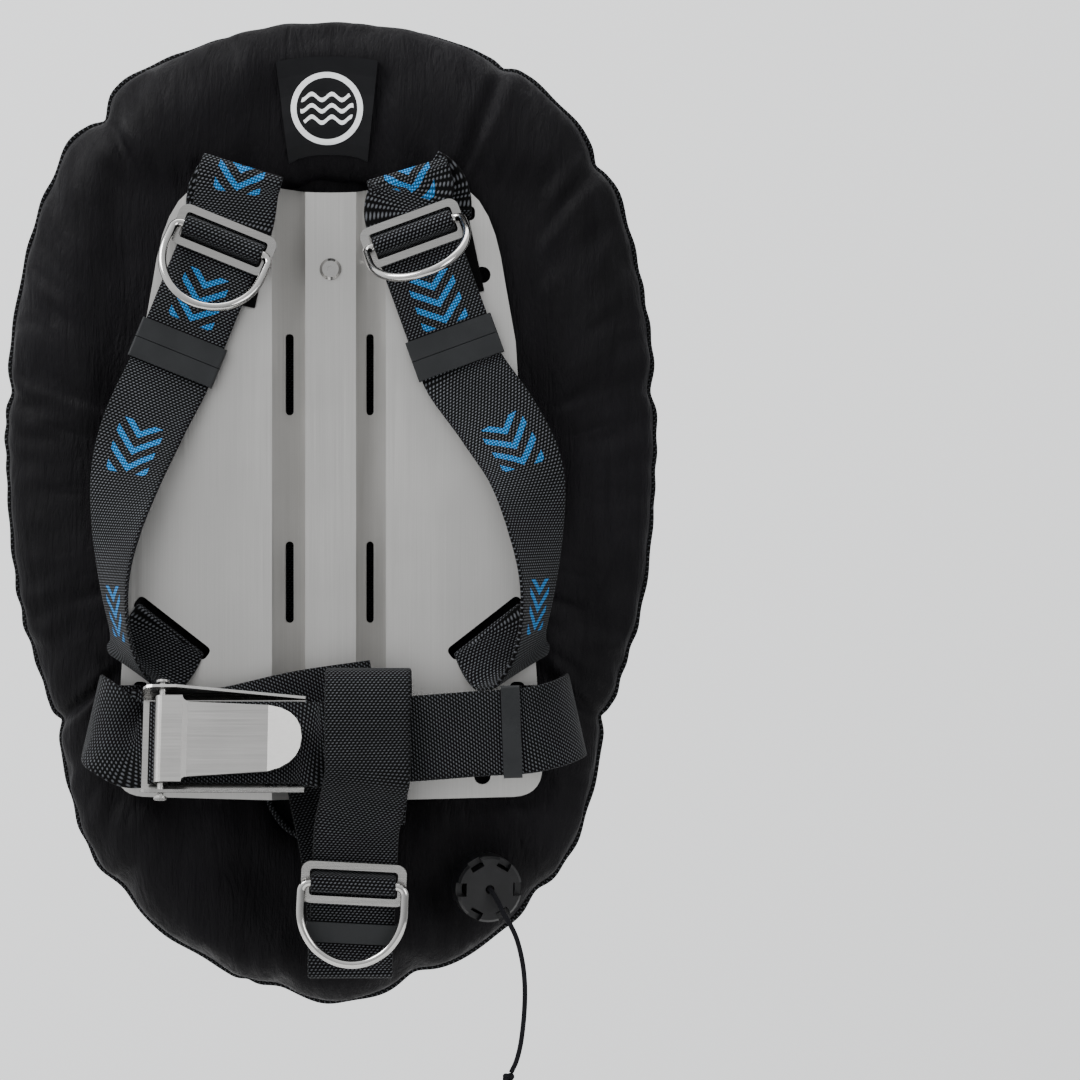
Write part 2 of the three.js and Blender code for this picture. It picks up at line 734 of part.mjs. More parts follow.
// strap holds where the strap folds over the plate's top and where its slide sits.
function shoulderStrap(side, label, strap) {
  const place = (x, out, z, lean, turn = 0) =>
    seat(side * x, plateMidY - out, z, -side * lean, 0, side * turn);
  const slide = seat(
    side * strap.slideX, plateMidY - strapStandoff, strap.slideZ, -side * strap.lean, strapPitch);
  const { foldX, foldZ } = strap;
  const fold = [
    place(0.85 * shoulderSlotX + 0.15 * foldX, besidePlate + 0.8, shoulderSlotZ + 12, 8),
    place(0.3 * shoulderSlotX + 0.7 * foldX, besidePlate + 1.2, foldZ - 8, 15),
    place(foldX + 1, besidePlate + 2, foldZ - 2.5, 16),
    place(foldX, besidePlate + 5.2, foldZ, 17),
    place(foldX + 0.8, besidePlate + 8.2, foldZ - 3, 17),
    place(foldX + 3, strapStandoff - 3.4, foldZ - 11, 0.9 * strap.lean),
  ];
  const straightRun = [upperKeeperDrop - 14, upperKeeperDrop, lowerKeeperDrop, lowerKeeperDrop + 9]
    .map((drop) => shifted(slide, 0, -drop, -underBar));
  const frontRun = [
    place(armLoopX - 14 - strap.inboard, strapStandoff + 12, armSlotZ + 124, 24, 8),
    place(armLoopX - 4, strapStandoff + 18, armSlotZ + 95, 28, 26),
    place(armLoopX + 3, strapStandoff + 22, armSlotZ + 55, 16, 52),
    place(armLoopX + 4, strapStandoff + 22, armSlotZ + 26, 6, 66),
    place(armLoopX + 0.5, strapStandoff + 20, armSlotZ - 2, 6, 72),
    place(armLoopX - 3, strapStandoff + 15, armSlotZ - 17, 14, 66),
    place(armLoopX - 8, strapStandoff + 5, armSlotZ - 25, 32, 48),
    place(armLoopX - 14.5, strapStandoff - 3.4, armSlotZ - 23, 38, 24),
    place(armLoopX - 20, strapStandoff - 8, armSlotZ - 14, 38, 6),
  ];
  const stations = [
    ...throughSlot(shoulderSlot(side)),
    ...fold,
    ...throughSlide(slide),
    ...straightRun,
    ...frontRun,
    ...roundSlotEdge(armSlot(side)).toReversed(),
  ];
  addPiece(`${label}_shoulder_webbing`, ribbon(stations.map(station), 2), "webbing");
  const backingTop = shoulderSlotZ - webSlotHalf - 2;
  const backingAt = place(
    strap.backingX, plateThick / 2 + gap + webThick / 2, backingTop - backingLength / 2,
    backingLean);
  const backing = roundRect(webWidth, backingLength, 0.6);
  addPiece(`${label}_shoulder_backing`, slab(backing, webThick, backingAt, 1), "webbing");
  addSlideAndRing(`${label}_shoulder`, slide, strap.swing);
  addKeeper(`${label}_upper_keeper`, straightRun[1], keeperLength);
  addKeeper(`${label}_lower_keeper`, straightRun[2], keeperLength);
}
shoulderStrap(-1, "left", {
  slideX: 62.4, slideZ: 155, lean: 22, foldX: 51, foldZ: 199, inboard: 0, swing: 22,
  backingX: 64,
});
shoulderStrap(1, "right", {
  slideX: 51, slideZ: 159, lean: 20, foldX: 47, foldZ: 197, inboard: 6, swing: 50,
  backingX: 64,
});

// ---------------------------------------------------------------- waist buckle

// Buckle places: local x along the belt from the hinge end, y up across it, z to the diver.
const buckleX = -106;
const buckleY = -90;
const buckleZ = -144;
const buckleAt = seat(buckleX, buckleY, buckleZ, 0, buckleTilt);
const frameHalf = webWidth / 2 + 3.5;
const pinAlong = 12;
const freeStrandLift = buckleBase / 2 + 2 * gap + 1.5 * webThick + gap;
const pinLift = freeStrandLift + webThick / 2 + 2 * gap + barrelRadius;
const behindBase = -(buckleBase / 2 + gap + webThick / 2);
const firstSlot = 72;
const lastSlot = 85;
const beltSlotLength = 7.4;

function buildBuckleFrame() {
  let frame = block(
    buckleLength, 2 * frameHalf, buckleBase,
    new THREE.Matrix4().makeTranslation(buckleLength / 2, 0, 0));
  for (const start of [firstSlot, lastSlot]) {
    const at = new THREE.Matrix4().makeTranslation(start + beltSlotLength / 2, 0, 0);
    frame = frame.subtract(block(beltSlotLength, webWidth + 1, 20, at));
  }
  const ear = new THREE.Shape();
  ear.moveTo(0, -0.6);
  ear.lineTo(buckleLength, -0.6);
  ear.lineTo(buckleLength, 2.4);
  ear.lineTo(20, earHeight);
  ear.lineTo(6, earHeight);
  ear.quadraticCurveTo(0, earHeight, 0, earHeight - 7);
  for (const side of [-1, 1]) {
    const at = new THREE.Matrix4().makeTranslation(0, side * (frameHalf - earThick / 2), 0)
      .multiply(new THREE.Matrix4().makeRotationX(rad(90 - side * earFlare)));
    frame = frame.add(slab(ear, earThick, at, 3));
  }
  const pinHole = disc(pinRadius + gap, -60, 60, 16);
  const across = new THREE.Matrix4().makeTranslation(pinAlong, 0, pinLift)
    .multiply(new THREE.Matrix4().makeRotationX(Math.PI / 2));
  return frame.subtract(pinHole.transform(across.elements));
}
addPiece("buckle_frame", buildBuckleFrame(), "steel", buckleAt);

const earReach = frameHalf + pinLift * Math.tan(rad(earFlare)) + earThick;
function buildBucklePin() {
  const headStart = earReach + 1;
  const headEnd = headStart + 1.4;
  const headRadius = pinRadius + 1.8;
  return turned([
    [0, -headEnd], [headRadius, -headEnd], [headRadius, -headStart], [pinRadius, -headStart],
    [pinRadius, headStart], [headRadius, headStart], [headRadius, headEnd], [0, headEnd],
  ], 16);
}
const hingeAt = shifted(buckleAt, pinAlong, 0, pinLift)
  .multiply(new THREE.Matrix4().makeRotationX(Math.PI / 2));
addPiece("buckle_pin", buildBucklePin(), "steel", hingeAt);

// The lever: a barrel round the pin and a plate with a bent, rounded tip. Its outline from the
// front is cut out of its bent section from the side. Local origin on the pin.
const leverEnd = buckleLength - pinAlong - 1;
const leverBend = leverEnd - 20;
const leverTop = barrelRadius;
const plateHalf = 22.5;
function buildLever() {
  const barrelHalf = frameHalf - earThick - 0.6;
  const section = new THREE.Shape();
  section.moveTo(0, leverTop);
  section.lineTo(12, leverTop);
  section.lineTo(15, leverTop - 2);
  section.lineTo(leverBend, leverTop - 2);
  section.lineTo(leverEnd + 3, leverTop + 4);
  section.lineTo(leverEnd + 3, leverTop + 4 - leverThick);
  section.lineTo(leverBend, leverTop - 2 - leverThick);
  section.lineTo(14, leverTop - 2 - leverThick);
  section.lineTo(11, leverTop - leverThick);
  section.lineTo(0, leverTop - leverThick);
  const upright = new THREE.Matrix4().makeRotationX(Math.PI / 2);
  const bent = slab(section, 4 * barrelHalf, upright);
  const face = new THREE.Shape();
  face.moveTo(-1, -barrelHalf);
  face.lineTo(12, -barrelHalf);
  face.quadraticCurveTo(12, -plateHalf, 17, -plateHalf);
  face.lineTo(leverBend, -plateHalf + 3);
  face.quadraticCurveTo(leverEnd, -plateHalf + 6, leverEnd, 0);
  face.quadraticCurveTo(leverEnd, plateHalf - 6, leverBend, plateHalf - 2);
  face.lineTo(17, plateHalf);
  face.quadraticCurveTo(12, plateHalf, 12, barrelHalf);
  face.lineTo(-1, barrelHalf);
  const plate = bent.intersect(slab(face, 60, null, 5));
  const barrel = disc(barrelRadius, -barrelHalf, barrelHalf, 20).transform(upright.elements);
  const bore = disc(pinRadius + gap, -60, 60, 16).transform(upright.elements);
  return plate.add(barrel).subtract(bore);
}
addPiece("buckle_lever", buildLever(), "polished", shifted(buckleAt, pinAlong, 0, pinLift));

// ---------------------------------------------------------------- waist belt

const beltLift = -buckleY + Math.cos(rad(buckleTilt)) * freeStrandLift;
const waistSlotTurned = (side) => seat(side * waistSlotX, plateMidY, waistSlotZ, side * 90);

// A place in the buckle as a belt station: along the belt, towards the diver, and raised.
function buckleStation(along, lift, raise = 0) {
  const at = shifted(buckleAt, along, raise, lift);
  return {
    at: new THREE.Vector3().setFromMatrixPosition(at),
    across: new THREE.Vector3().setFromMatrixColumn(at, 1),
  };
}

// Webbing from behind the plate out through the waist slot on one side.
function waistExit(side) {
  return throughSlot(waistSlotTurned(side)).map((matrix) => {
    const at = new THREE.Vector3().setFromMatrixPosition(matrix);
    return { at, across: new THREE.Vector3(0, 0, 1) };
  });
}

function leftBelt() {
  const x = -waistSlotX;
  const loop = [
    beltStation(x - 10.5, plateMidY - besidePlate - 0.6, waistSlotZ),
    beltStation(x - 17, -32, waistSlotZ + 0.6, 1),
    beltStation(x - 22, -40, waistSlotZ + 3, 5),
    beltStation(x - 24.5, -52, waistSlotZ + 7, 11),
    beltStation(x - 24.5, -66, waistSlotZ + 8, 13),
    beltStation(x - 20, -78, -130, 10, 6),
    beltStation(x - 12, -86, -137, 4, 12),
    buckleStation(-7, behindBase - 0.6),
  ];
  const base = behindBase;
  const hump = -base + gap;
  const weave = [
    buckleStation(3, base),
    buckleStation(40, base),
    buckleStation(firstSlot - 3, base),
    buckleStation(firstSlot + 1.4, base * 0.8),
    buckleStation(firstSlot + 3.7, 0),
    buckleStation(firstSlot + 6.2, hump * 0.85),
    buckleStation(firstSlot + 10.2, hump),
    buckleStation(lastSlot + 1.2, hump * 0.85),
    buckleStation(lastSlot + 3.7, 0),
    buckleStation(lastSlot + 5.4, base * 0.9),
  ];
  const doubled = base - 2 * webThick - 1.2;
  const tail = [
    buckleStation(lastSlot + 6.4, base - 2.6),
    buckleStation(lastSlot + 4, doubled, 1),
    buckleStation(lastSlot - 6, doubled - 0.4, 2),
    buckleStation(45, doubled, 6),
    buckleStation(10, doubled - 0.4, 10),
    buckleStation(-2, doubled - 0.7, 11),
    buckleStation(-6, doubled - 3.8, 11.6),
    buckleStation(-2, doubled - 7, 12.2),
    buckleStation(12, doubled - 7.6, 13),
    buckleStation(45, doubled - 9.4, 15),
    beltStation(buckleX + 92, -60, buckleZ + 18, 3, 9),
  ];
  const tip = beltStation(crotchX + 3, -53, buckleZ + 24, 6, 4);
  return ribbon([...waistExit(-1), ...loop, ...weave, ...tail, tip], 2);
}

function rightBelt() {
  const x = waistSlotX;
  const loop = [
    beltStation(x + 10.5, plateMidY - besidePlate - 0.6, waistSlotZ),
    beltStation(x + 18, -32, waistSlotZ + 0.6, -1),
    beltStation(x + 26, -40, waistSlotZ + 3, -5),
    beltStation(x + 34, -52, -128, -12),
    beltStation(x + 34, -68, -128, -12),
    beltStation(x + 26, -84, -131, -8),
    beltStation(x + 14, -93, -134, -3),
    beltStation(x + 5, -beltLift, -135.5),
    beltStation(x - 20, -beltLift, -137),
    beltStation(x - 60, -beltLift, -140),
    beltStation(4, -beltLift, -143),
    beltStation(-3, -beltLift, -143.6, 0, 8),
  ];
  const inside = [
    buckleStation(buckleLength - 3, freeStrandLift),
    buckleStation(buckleLength - 20, freeStrandLift),
    buckleStation(50, freeStrandLift),
    buckleStation(4, freeStrandLift),
  ];
  return ribbon([...waistExit(1), ...loop, ...inside], 2);
}

const crotchX = 26;
addPiece("left_waist_webbing", leftBelt(), "webbing");
addPiece("right_waist_webbing", rightBelt(), "webbing");
addKeeper("waist_keeper", seat(waistSlotX - 3, -beltLift, -136, 88), 11);

// ---------------------------------------------------------------- crotch strap

const crotchFrontY = -beltLift - webThick - 4.4;
const crotchBackY = -66;
const crotchSlideZ = -226;
const crotchFoldZ = -283;
const crotchFoldTop = -99;
const crotchSlideAt = seat(17, -77, crotchSlideZ, 3, -6);
const crotchKeeperDrop = 30;

function crotchStrap() {
  const behindFloor = webThick / 2 + gap + 0.1;
  const frontFold = shifted(crotchSlideAt, 0, crotchFoldZ - crotchSlideZ + 7, -underBar);
  const frontFoldY = new THREE.Vector3().setFromMatrixPosition(frontFold).y;
  const foldRadius = 4.4;
  const foldY = frontFoldY + foldRadius;
  const foldMid = crotchFoldZ + foldRadius + webThick / 2;
  const loopY = (crotchFrontY + crotchBackY) / 2;
  const stations = [
    seat(0, behindFloor, crotchSlotZ + 18),
    seat(0, behindFloor, crotchSlotZ + 6),
    seat(0, behindFloor - 0.4, crotchSlotZ + 3.2),
    seat(0, -0.6, crotchSlotZ + 1),
    seat(0, -4, crotchSlotZ + 0.2),
    seat(0, -10, crotchSlotZ),
    seat(0, -19, crotchSlotZ),
    seat(0, -26, crotchSlotZ - 0.8),
    seat(1, -33, crotchSlotZ - 6),
    seat(4, -41, crotchSlotZ - 18),
    seat(9, -50, crotchSlotZ - 40),
    seat(13, -56, crotchSlideZ - 14),
    seat(14, foldY + foldRadius + 1, crotchFoldZ + 20),
    seat(14.5, foldY + foldRadius, foldMid),
    seat(14.5, foldY + foldRadius * Math.SQRT1_2, foldMid - foldRadius * Math.SQRT1_2),
    seat(14.5, foldY, foldMid - foldRadius),
    seat(14.5, foldY - foldRadius * Math.SQRT1_2, foldMid - foldRadius * Math.SQRT1_2),
    shifted(crotchSlideAt, 0, crotchFoldZ - crotchSlideZ + 8, -underBar),
    shifted(crotchSlideAt, 0, -crotchKeeperDrop - 8, -underBar),
    shifted(crotchSlideAt, 0, -crotchKeeperDrop + 6, -underBar),
    ...throughSlide(crotchSlideAt).toReversed(),
    seat(19, -84, crotchSlideZ + 32, 1),
    seat(23, -94.5, crotchSlideZ + 50),
    seat(crotchX, crotchFrontY - 2.2, crotchSlideZ + 64),
    seat(crotchX, crotchFrontY - 0.6, buckleZ + 6),
    seat(crotchX, crotchFrontY, crotchFoldTop - 20),
    seat(crotchX, crotchFrontY + 3, crotchFoldTop - 10),
    seat(crotchX, crotchFrontY + 9, crotchFoldTop - 3),
    seat(crotchX, loopY, crotchFoldTop - 1.2),
    seat(crotchX, crotchBackY - 9, crotchFoldTop - 3),
    seat(crotchX, crotchBackY - 2, crotchFoldTop - 10),
    seat(crotchX, crotchBackY, crotchFoldTop - 20),
    seat(crotchX - 1, crotchBackY - 1, buckleZ - 10),
    seat(crotchX - 4, crotchBackY - 3, buckleZ - 46),
  ];
  return ribbon(stations.map(station), 2);
}
addPiece("crotch_webbing", crotchStrap(), "webbing");
addSlideAndRing("crotch", crotchSlideAt, 4);
addKeeper("crotch_keeper", shifted(crotchSlideAt, 0, -crotchKeeperDrop, -underBar), 12);

// ---------------------------------------------------------------- dump valve

// Local z runs out of the wing along the valve's axis.
const neckHigh = 11;
const neckLow = -20;
const seatRadius = 12.5;
const flangeRadius = valveNeckRadius + 6;
const capFoot = neckHigh - 4;
const capTop = capFoot + valveCapHeight;
const capWall = 2;
const cordHole = cordDiameter / 2 + 1.2;

addPiece("valve_seat", turned([
  [10, neckLow], [flangeRadius, neckLow], [flangeRadius, neckLow + 2],
  [valveNeckRadius, neckLow + 2], [valveNeckRadius, neckHigh],
  [14.5, neckHigh], [14.5, 2], [10, 2], [10, neckLow],
], 32), "plastic", valveAt);

addPiece("valve_gasket",
  tube(valveNeckRadius + gap, flangeRadius - 1, neckLow + 2 + gap, neckLow + 4.3, 32),
  "rubber", valveAt);

const sealLow = 2 + gap;
const sealHigh = sealLow + 1.5;
addPiece("valve_seal", tube(4, seatRadius, sealLow, sealHigh, 24), "silicone", valveAt);

const poppetHigh = sealHigh + gap + 2;
addPiece("valve_poppet", turned([
  [0, sealLow - 1], [4 - gap, sealLow - 1], [4 - gap, sealHigh + gap],
  [seatRadius, sealHigh + gap], [seatRadius, poppetHigh], [3.2, poppetHigh],
  [3.2, poppetHigh + 2], [0, poppetHigh + 2],
], 24), "plastic", valveAt);

function buildCap() {
  let cap = turned([
    [valveNeckRadius + gap, capFoot], [valveCapRadius, capFoot], [valveCapRadius, capTop - 1.5],
    [valveCapRadius - 1.5, capTop], [cordHole, capTop], [cordHole, capTop - capWall],
    [valveNeckRadius + gap, capTop - capWall], [valveNeckRadius + gap, capFoot],
  ], 36);
  for (let k = 0; k < 6; k += 1) {
    const at = new THREE.Matrix4().makeRotationZ((k * Math.PI) / 3)
      .multiply(new THREE.Matrix4().makeTranslation(valveCapRadius - 2, 0, capTop));
    cap = cap.subtract(block(7.5, 8, 9, at));
  }
  for (let k = 0; k < 6; k += 1) {
    const at = new THREE.Matrix4().makeRotationZ(((k + 0.5) * Math.PI) / 3)
      .multiply(new THREE.Matrix4().makeTranslation(valveCapRadius + 0.6, 0, capFoot + 3));
    cap = cap.subtract(block(2.4, 2, 6, at));
  }
  return cap;
}
addPiece("valve_cap", buildCap(), "plastic", valveAt);

// The return spring, drawn at its fully pressed length.
const springWire = 1;
const springRadius = 6.2;
const springLow = poppetHigh + gap + springWire / 2;
const springHigh = capTop - capWall - gap - springWire / 2 - valveTravel;
const coilTurns = 3.5;
class CoilCurve extends THREE.Curve {
  getPoint(t) {
    const a = 2 * Math.PI * coilTurns * t;
    const z = springLow + (springHigh - springLow) * t;
    return new THREE.Vector3(springRadius * Math.cos(a), springRadius * Math.sin(a), z);
  }
}
function wireSection(radius, sides) {
  const points = [];
  for (let k = 0; k < sides; k += 1) {
    const a = (2 * Math.PI * k) / sides;
    points.push(new THREE.Vector2(radius * Math.cos(a), radius * Math.sin(a)));
  }
  return new THREE.Shape(points);
}
function wire(curve, diameter, steps, sides) {
  return toSolid(new THREE.ExtrudeGeometry(wireSection(diameter / 2, sides), {
    steps,
    extrudePath: curve,
    bevelEnabled: false,
  }));
}
addPiece("valve_spring", wire(new CoilCurve(), springWire, 32, 6), "steel", valveAt);

// ---------------------------------------------------------------- pull cord

const cordStart = new THREE.Vector3(0, 0, poppetHigh + 2 + gap).applyMatrix4(valveAt);
const cordMouth = new THREE.Vector3(0, 0, capTop + 1.5).applyMatrix4(valveAt);
const cordRoute = [
  [cordStart.x, cordStart.y, cordStart.z],
  [cordMouth.x, cordMouth.y, cordMouth.z],
  [101.2, -45.8, -238.6],
  [104.6, -48, -245.4],
  [108.8, -49.4, -252.4],
  [112.4, -50, -260],
  [115, -50.4, -269],
  [116.8, -50.6, -279],
  [117.6, -50.6, -290],
  [117.4, -50.4, -302],
  [116.4, -50.2, -314],
  [114.8, -50, -325],
  [112.4, -50, -334],
  [109.4, -50, -340.4],
];
const knotRadius = 3.3;
const cordCurve = new THREE.CatmullRomCurve3(
  cordRoute.map(([x, y, z]) => new THREE.Vector3(x, y, z)), false, "centripetal");
addPiece("pull_cord", wire(cordCurve, cordDiameter, 44, 8), "webbing");

const cordEnd = cordCurve.getPoint(1);
const cordEndWay = cordCurve.getTangent(1);
const knotAt = cordEnd.clone().addScaledVector(cordEndWay, knotRadius + gap);
const tailEnd = new THREE.Vector3(-4.6, 0, -5.6).add(knotAt);
const tailCurve = new THREE.LineCurve3(knotAt, tailEnd);
const knotBall = toSolid(
  new THREE.SphereGeometry(knotRadius, 12, 8),
  new THREE.Matrix4().makeTranslation(knotAt.x, knotAt.y, knotAt.z));
addPiece("pull_knot", knotBall.add(wire(tailCurve, cordDiameter, 2, 8)), "webbing");

// ---------------------------------------------------------------- inflation elbow

// Local z runs out of the wing towards the tank side.
const elbowFlange = elbowNeckRadius + 7;
const elbowNeckHigh = 6;
const elbowNeckLow = -12;
addPiece("elbow_seat", turned([
  [9, elbowNeckLow], [elbowFlange, elbowNeckLow], [elbowFlange, elbowNeckLow + 2],
  [elbowNeckRadius, elbowNeckLow + 2], [elbowNeckRadius, elbowNeckHigh], [9, elbowNeckHigh],
  [9, elbowNeckLow],
], 28), "plastic", elbowAt);
addPiece("elbow_gasket",
  tube(9.5, elbowNeckRadius, elbowNeckHigh + gap, elbowNeckHigh + 1.8, 28),
  "rubber", elbowAt);

const elbowFoot = elbowNeckHigh + 1.8 + gap;
const barbLength = 34;
function buildElbow() {
  const body = disc(15, elbowFoot, elbowFoot + 20, 28);
  const barb = turned([
    [0, 0], [10, 0], [10, barbLength - 14], [11.6, barbLength - 14], [10.4, barbLength - 8],
    [11.6, barbLength - 8], [10.4, barbLength], [0, barbLength],
  ], 28);
  const outward = new THREE.Matrix4().makeTranslation(0, 0, elbowFoot + 10)
    .multiply(new THREE.Matrix4().makeRotationZ(rad(40)))
    .multiply(new THREE.Matrix4().makeRotationX(rad(90)));
  const bore = disc(7.5, 0, barbLength + 5, 20).transform(outward.elements);
  const well = disc(8.5, elbowFoot - 1, elbowFoot + 17, 24);
  return body.add(barb.transform(outward.elements)).subtract(bore).subtract(well);
}
addPiece("elbow_body", buildElbow(), "plastic", elbowAt);

export default assembly;
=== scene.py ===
"""A diver's buoyancy vest: steel backplate, webbing harness and inflatable wing.

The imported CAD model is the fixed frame. Metal and moulded pieces keep their CAD meshes and get
procedural finishes. Webbing, rings, cord and the wing are rebuilt here as finer surfaces that
stand for their CAD nodes. Lengths in the layout are millimetres and meshes are metres.
"""

import logging
import math
from dataclasses import dataclass, field
from enum import Enum
from typing import Sequence, Union

import bpy
import numpy as np
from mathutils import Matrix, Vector


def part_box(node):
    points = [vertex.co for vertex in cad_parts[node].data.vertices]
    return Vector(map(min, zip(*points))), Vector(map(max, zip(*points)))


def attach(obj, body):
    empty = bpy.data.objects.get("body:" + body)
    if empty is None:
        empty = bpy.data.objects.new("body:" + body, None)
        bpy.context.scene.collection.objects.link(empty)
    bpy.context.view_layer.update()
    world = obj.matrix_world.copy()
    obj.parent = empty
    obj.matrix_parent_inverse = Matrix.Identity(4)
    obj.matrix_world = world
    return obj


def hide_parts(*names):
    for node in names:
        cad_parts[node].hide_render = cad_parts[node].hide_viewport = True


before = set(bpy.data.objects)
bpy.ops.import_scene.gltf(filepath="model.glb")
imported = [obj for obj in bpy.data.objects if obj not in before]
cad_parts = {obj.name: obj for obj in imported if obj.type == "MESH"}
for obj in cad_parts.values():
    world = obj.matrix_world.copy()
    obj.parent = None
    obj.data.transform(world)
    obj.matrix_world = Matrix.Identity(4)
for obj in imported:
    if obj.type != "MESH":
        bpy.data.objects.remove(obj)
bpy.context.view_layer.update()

LOG = logging.getLogger("vest")
Socket = bpy.types.NodeSocket
Value = Union[bpy.types.NodeSocket, float]
MM = 0.001


# ------------------------------------------------------------------------------ layout sizes


@dataclass(frozen=True)
class Sizes:
    """The driving dimensions that the looks share with the CAD model, in millimetres."""

    gap: float = 0.3
    web_width: float = 50
    web_thick: float = 2.4
    plate_thick: float = 3
    plate_half_width: float = 128
    channel_depth: float = 22
    web_slot_half: float = 4.4
    shoulder_slot_x: float = 60.6
    shoulder_slot_z: float = 172
    arm_slot_inset: float = 33.8
    arm_slot_z: float = -76.8
    arm_slot_lean: float = 37.9
    waist_slot_inset: float = 15
    waist_slot_z: float = -136
    crotch_slot_z: float = -168
    slide_height: float = 25
    slide_bar: float = 4.5
    slide_thick: float = 3
    ring_rod: float = 5
    ring_width: float = 66
    ring_drop: float = 47
    buckle_length: float = 95
    buckle_tilt: float = 18
    buckle_base: float = 2

    @property
    def plate_mid_y(self) -> float:
        """Level of the plate's flat wings."""
        return -self.channel_depth - self.plate_thick / 2

    @property
    def beside_plate(self) -> float:
        """Distance from the plate's middle to webbing that lies on it."""
        return self.plate_thick / 2 + self.gap + self.web_thick / 2

    @property
    def arm_slot_x(self) -> float:
        """Distance of an arm slot from the middle."""
        return self.plate_half_width - self.arm_slot_inset

    @property
    def waist_slot_x(self) -> float:
        """Distance of a waist slot from the middle."""
        return self.plate_half_width - self.waist_slot_inset

    @property
    def rod_lift(self) -> float:
        """Height of a ring's straight side over its slide."""
        return self.slide_thick / 2 + self.gap + self.ring_rod / 2

    @property
    def under_bar(self) -> float:
        """Depth of the webbing behind a slide's outer bars."""
        return self.slide_thick / 2 + self.gap + self.web_thick / 2


SIZES = Sizes()


# ------------------------------------------------------------------------------ placing


def turn(axis: int, degrees: float) -> np.ndarray:
    """A 4 x 4 rotation about a main axis.

    Args:
        axis: 0, 1 or 2 for X, Y or Z.
        degrees: The angle.
    Returns:
        The matrix.
    """
    c, s = math.cos(math.radians(degrees)), math.sin(math.radians(degrees))
    i, j = [(1, 2), (2, 0), (0, 1)][axis]
    m = np.eye(4)
    m[i, i] = m[j, j] = c
    m[i, j], m[j, i] = -s, s
    return m


def shifted(matrix: np.ndarray, x: float, y: float, z: float) -> np.ndarray:
    """The place reached from a place by a local step."""
    step = np.eye(4)
    step[:3, 3] = (x, y, z)
    return matrix @ step


def seat(
    x: float, y: float, z: float, lean: float = 0.0, pitch: float = 0.0, swing: float = 0.0
) -> np.ndarray:
    """A place on the harness.

    Args:
        x, y, z: Its centre in millimetres.
        lean: Degrees by which the right end is lowered.
        pitch: Degrees by which the top goes back.
        swing: Degrees by which the right end goes back.
    Returns:
        A matrix whose X runs across, Y up and Z towards the diver.
    """
    facing = np.eye(4)
    facing[:3, :3] = np.column_stack([(1, 0, 0), (0, 0, 1), (0, -1, 0)])
    place = shifted(np.eye(4), x, y, z)
    return place @ turn(1, lean) @ turn(0, -pitch) @ turn(2, swing) @ facing


def as_station(matrix: np.ndarray) -> np.ndarray:
    """The centre and the width direction of a place on a strip."""
    return np.concatenate([matrix[:3, 3], matrix[:3, 0]])


def belt_station(
    x: float, y: float, z: float, splay: float = 0.0, tilt: float = 0.0
) -> np.ndarray:
    """A place on a belt whose width stands upright.

    Args:
        x, y, z: Its centre in millimetres.
        splay: Degrees by which its top leans to the right.
        tilt: Degrees by which its top leans back.
    Returns:
        Six numbers: centre and width direction.
    """
    a, b = math.radians(splay), math.radians(tilt)
    across = (math.sin(a), math.cos(a) * math.sin(b), math.cos(a) * math.cos(b))
    return np.array([x, y, z, *across])


def spline(points: Sequence, steps: int, centripetal: bool = True) -> np.ndarray:
    """A Catmull-Rom curve through points.

    Args:
        points: Array (n, k).
        steps: Samples for each span.
        centripetal: True for knots spaced by the square root of distance, else even knots.
    Returns:
        Array ((n - 1) * steps + 1, k).
    """
    p = np.asarray(points, float)
    p = np.vstack([2 * p[0] - p[1], p, 2 * p[-1] - p[-2]])
    a, b, c, d = p[:-3], p[1:-2], p[2:-1], p[3:]
    if centripetal:
        dist = np.sqrt(np.linalg.norm(np.diff(p, axis=0), axis=1))[:, None]
        u, v, w = dist[:-2], dist[1:-1], dist[2:]
        m1 = ((b - a) / u - (c - a) / (u + v) + (c - b) / v) * v
        m2 = ((c - b) / v - (d - b) / (v + w) + (d - c) / w) * v
    else:
        m1, m2 = 0.5 * (c - a), 0.5 * (d - b)
    t = (np.arange(steps) / steps)[None, :, None]
    b, c, m1, m2 = b[:, None], c[:, None], m1[:, None], m2[:, None]
    curve = (
        b + m1 * t + (3 * (c - b) - 2 * m1 - m2) * t**2 + (2 * (b - c) + m1 + m2) * t**3
    )
    return np.vstack([curve.reshape(-1, p.shape[1]), p[-2]])


def unit(v: np.ndarray) -> np.ndarray:
    """Vectors scaled to length one, row by row."""
    return v / np.maximum(np.linalg.norm(v, axis=-1, keepdims=True), 1e-12)


# ------------------------------------------------------------------------------ meshes


def mesh_object(
    name: str, co: np.ndarray, faces: list, uv: np.ndarray | None = None
) -> bpy.types.Object:
    """A smooth-shaded mesh object from arrays.

    Args:
        name: The object's name.
        co: Vertices (n, 3) in metres.
        faces: List of index lists.
        uv: Optional array of (u, v) for each face corner, in face order.
    Returns:
        The object, linked to the scene.
    """
    mesh = bpy.data.meshes.new(name)
    mesh.from_pydata(np.asarray(co, float), [], faces)
    if uv is not None:
        layer = mesh.uv_layers.new(name="surface")
        layer.data.foreach_set("uv", np.asarray(uv, np.float32).ravel())
    mesh.shade_smooth()
    mesh.validate()
    made = bpy.data.objects.new(name, mesh)
    bpy.context.scene.collection.objects.link(made)
    return made


def vertex_normals(obj: bpy.types.Object) -> np.ndarray:
    """The mesh's vertex normals.

    Args:
        obj: The mesh object.
    Returns:
        Array (n, 3).
    """
    flat = np.zeros(len(obj.data.vertices) * 3, np.float32)
    obj.data.vertices.foreach_get("normal", flat)
    return flat.reshape(-1, 3).astype(float)


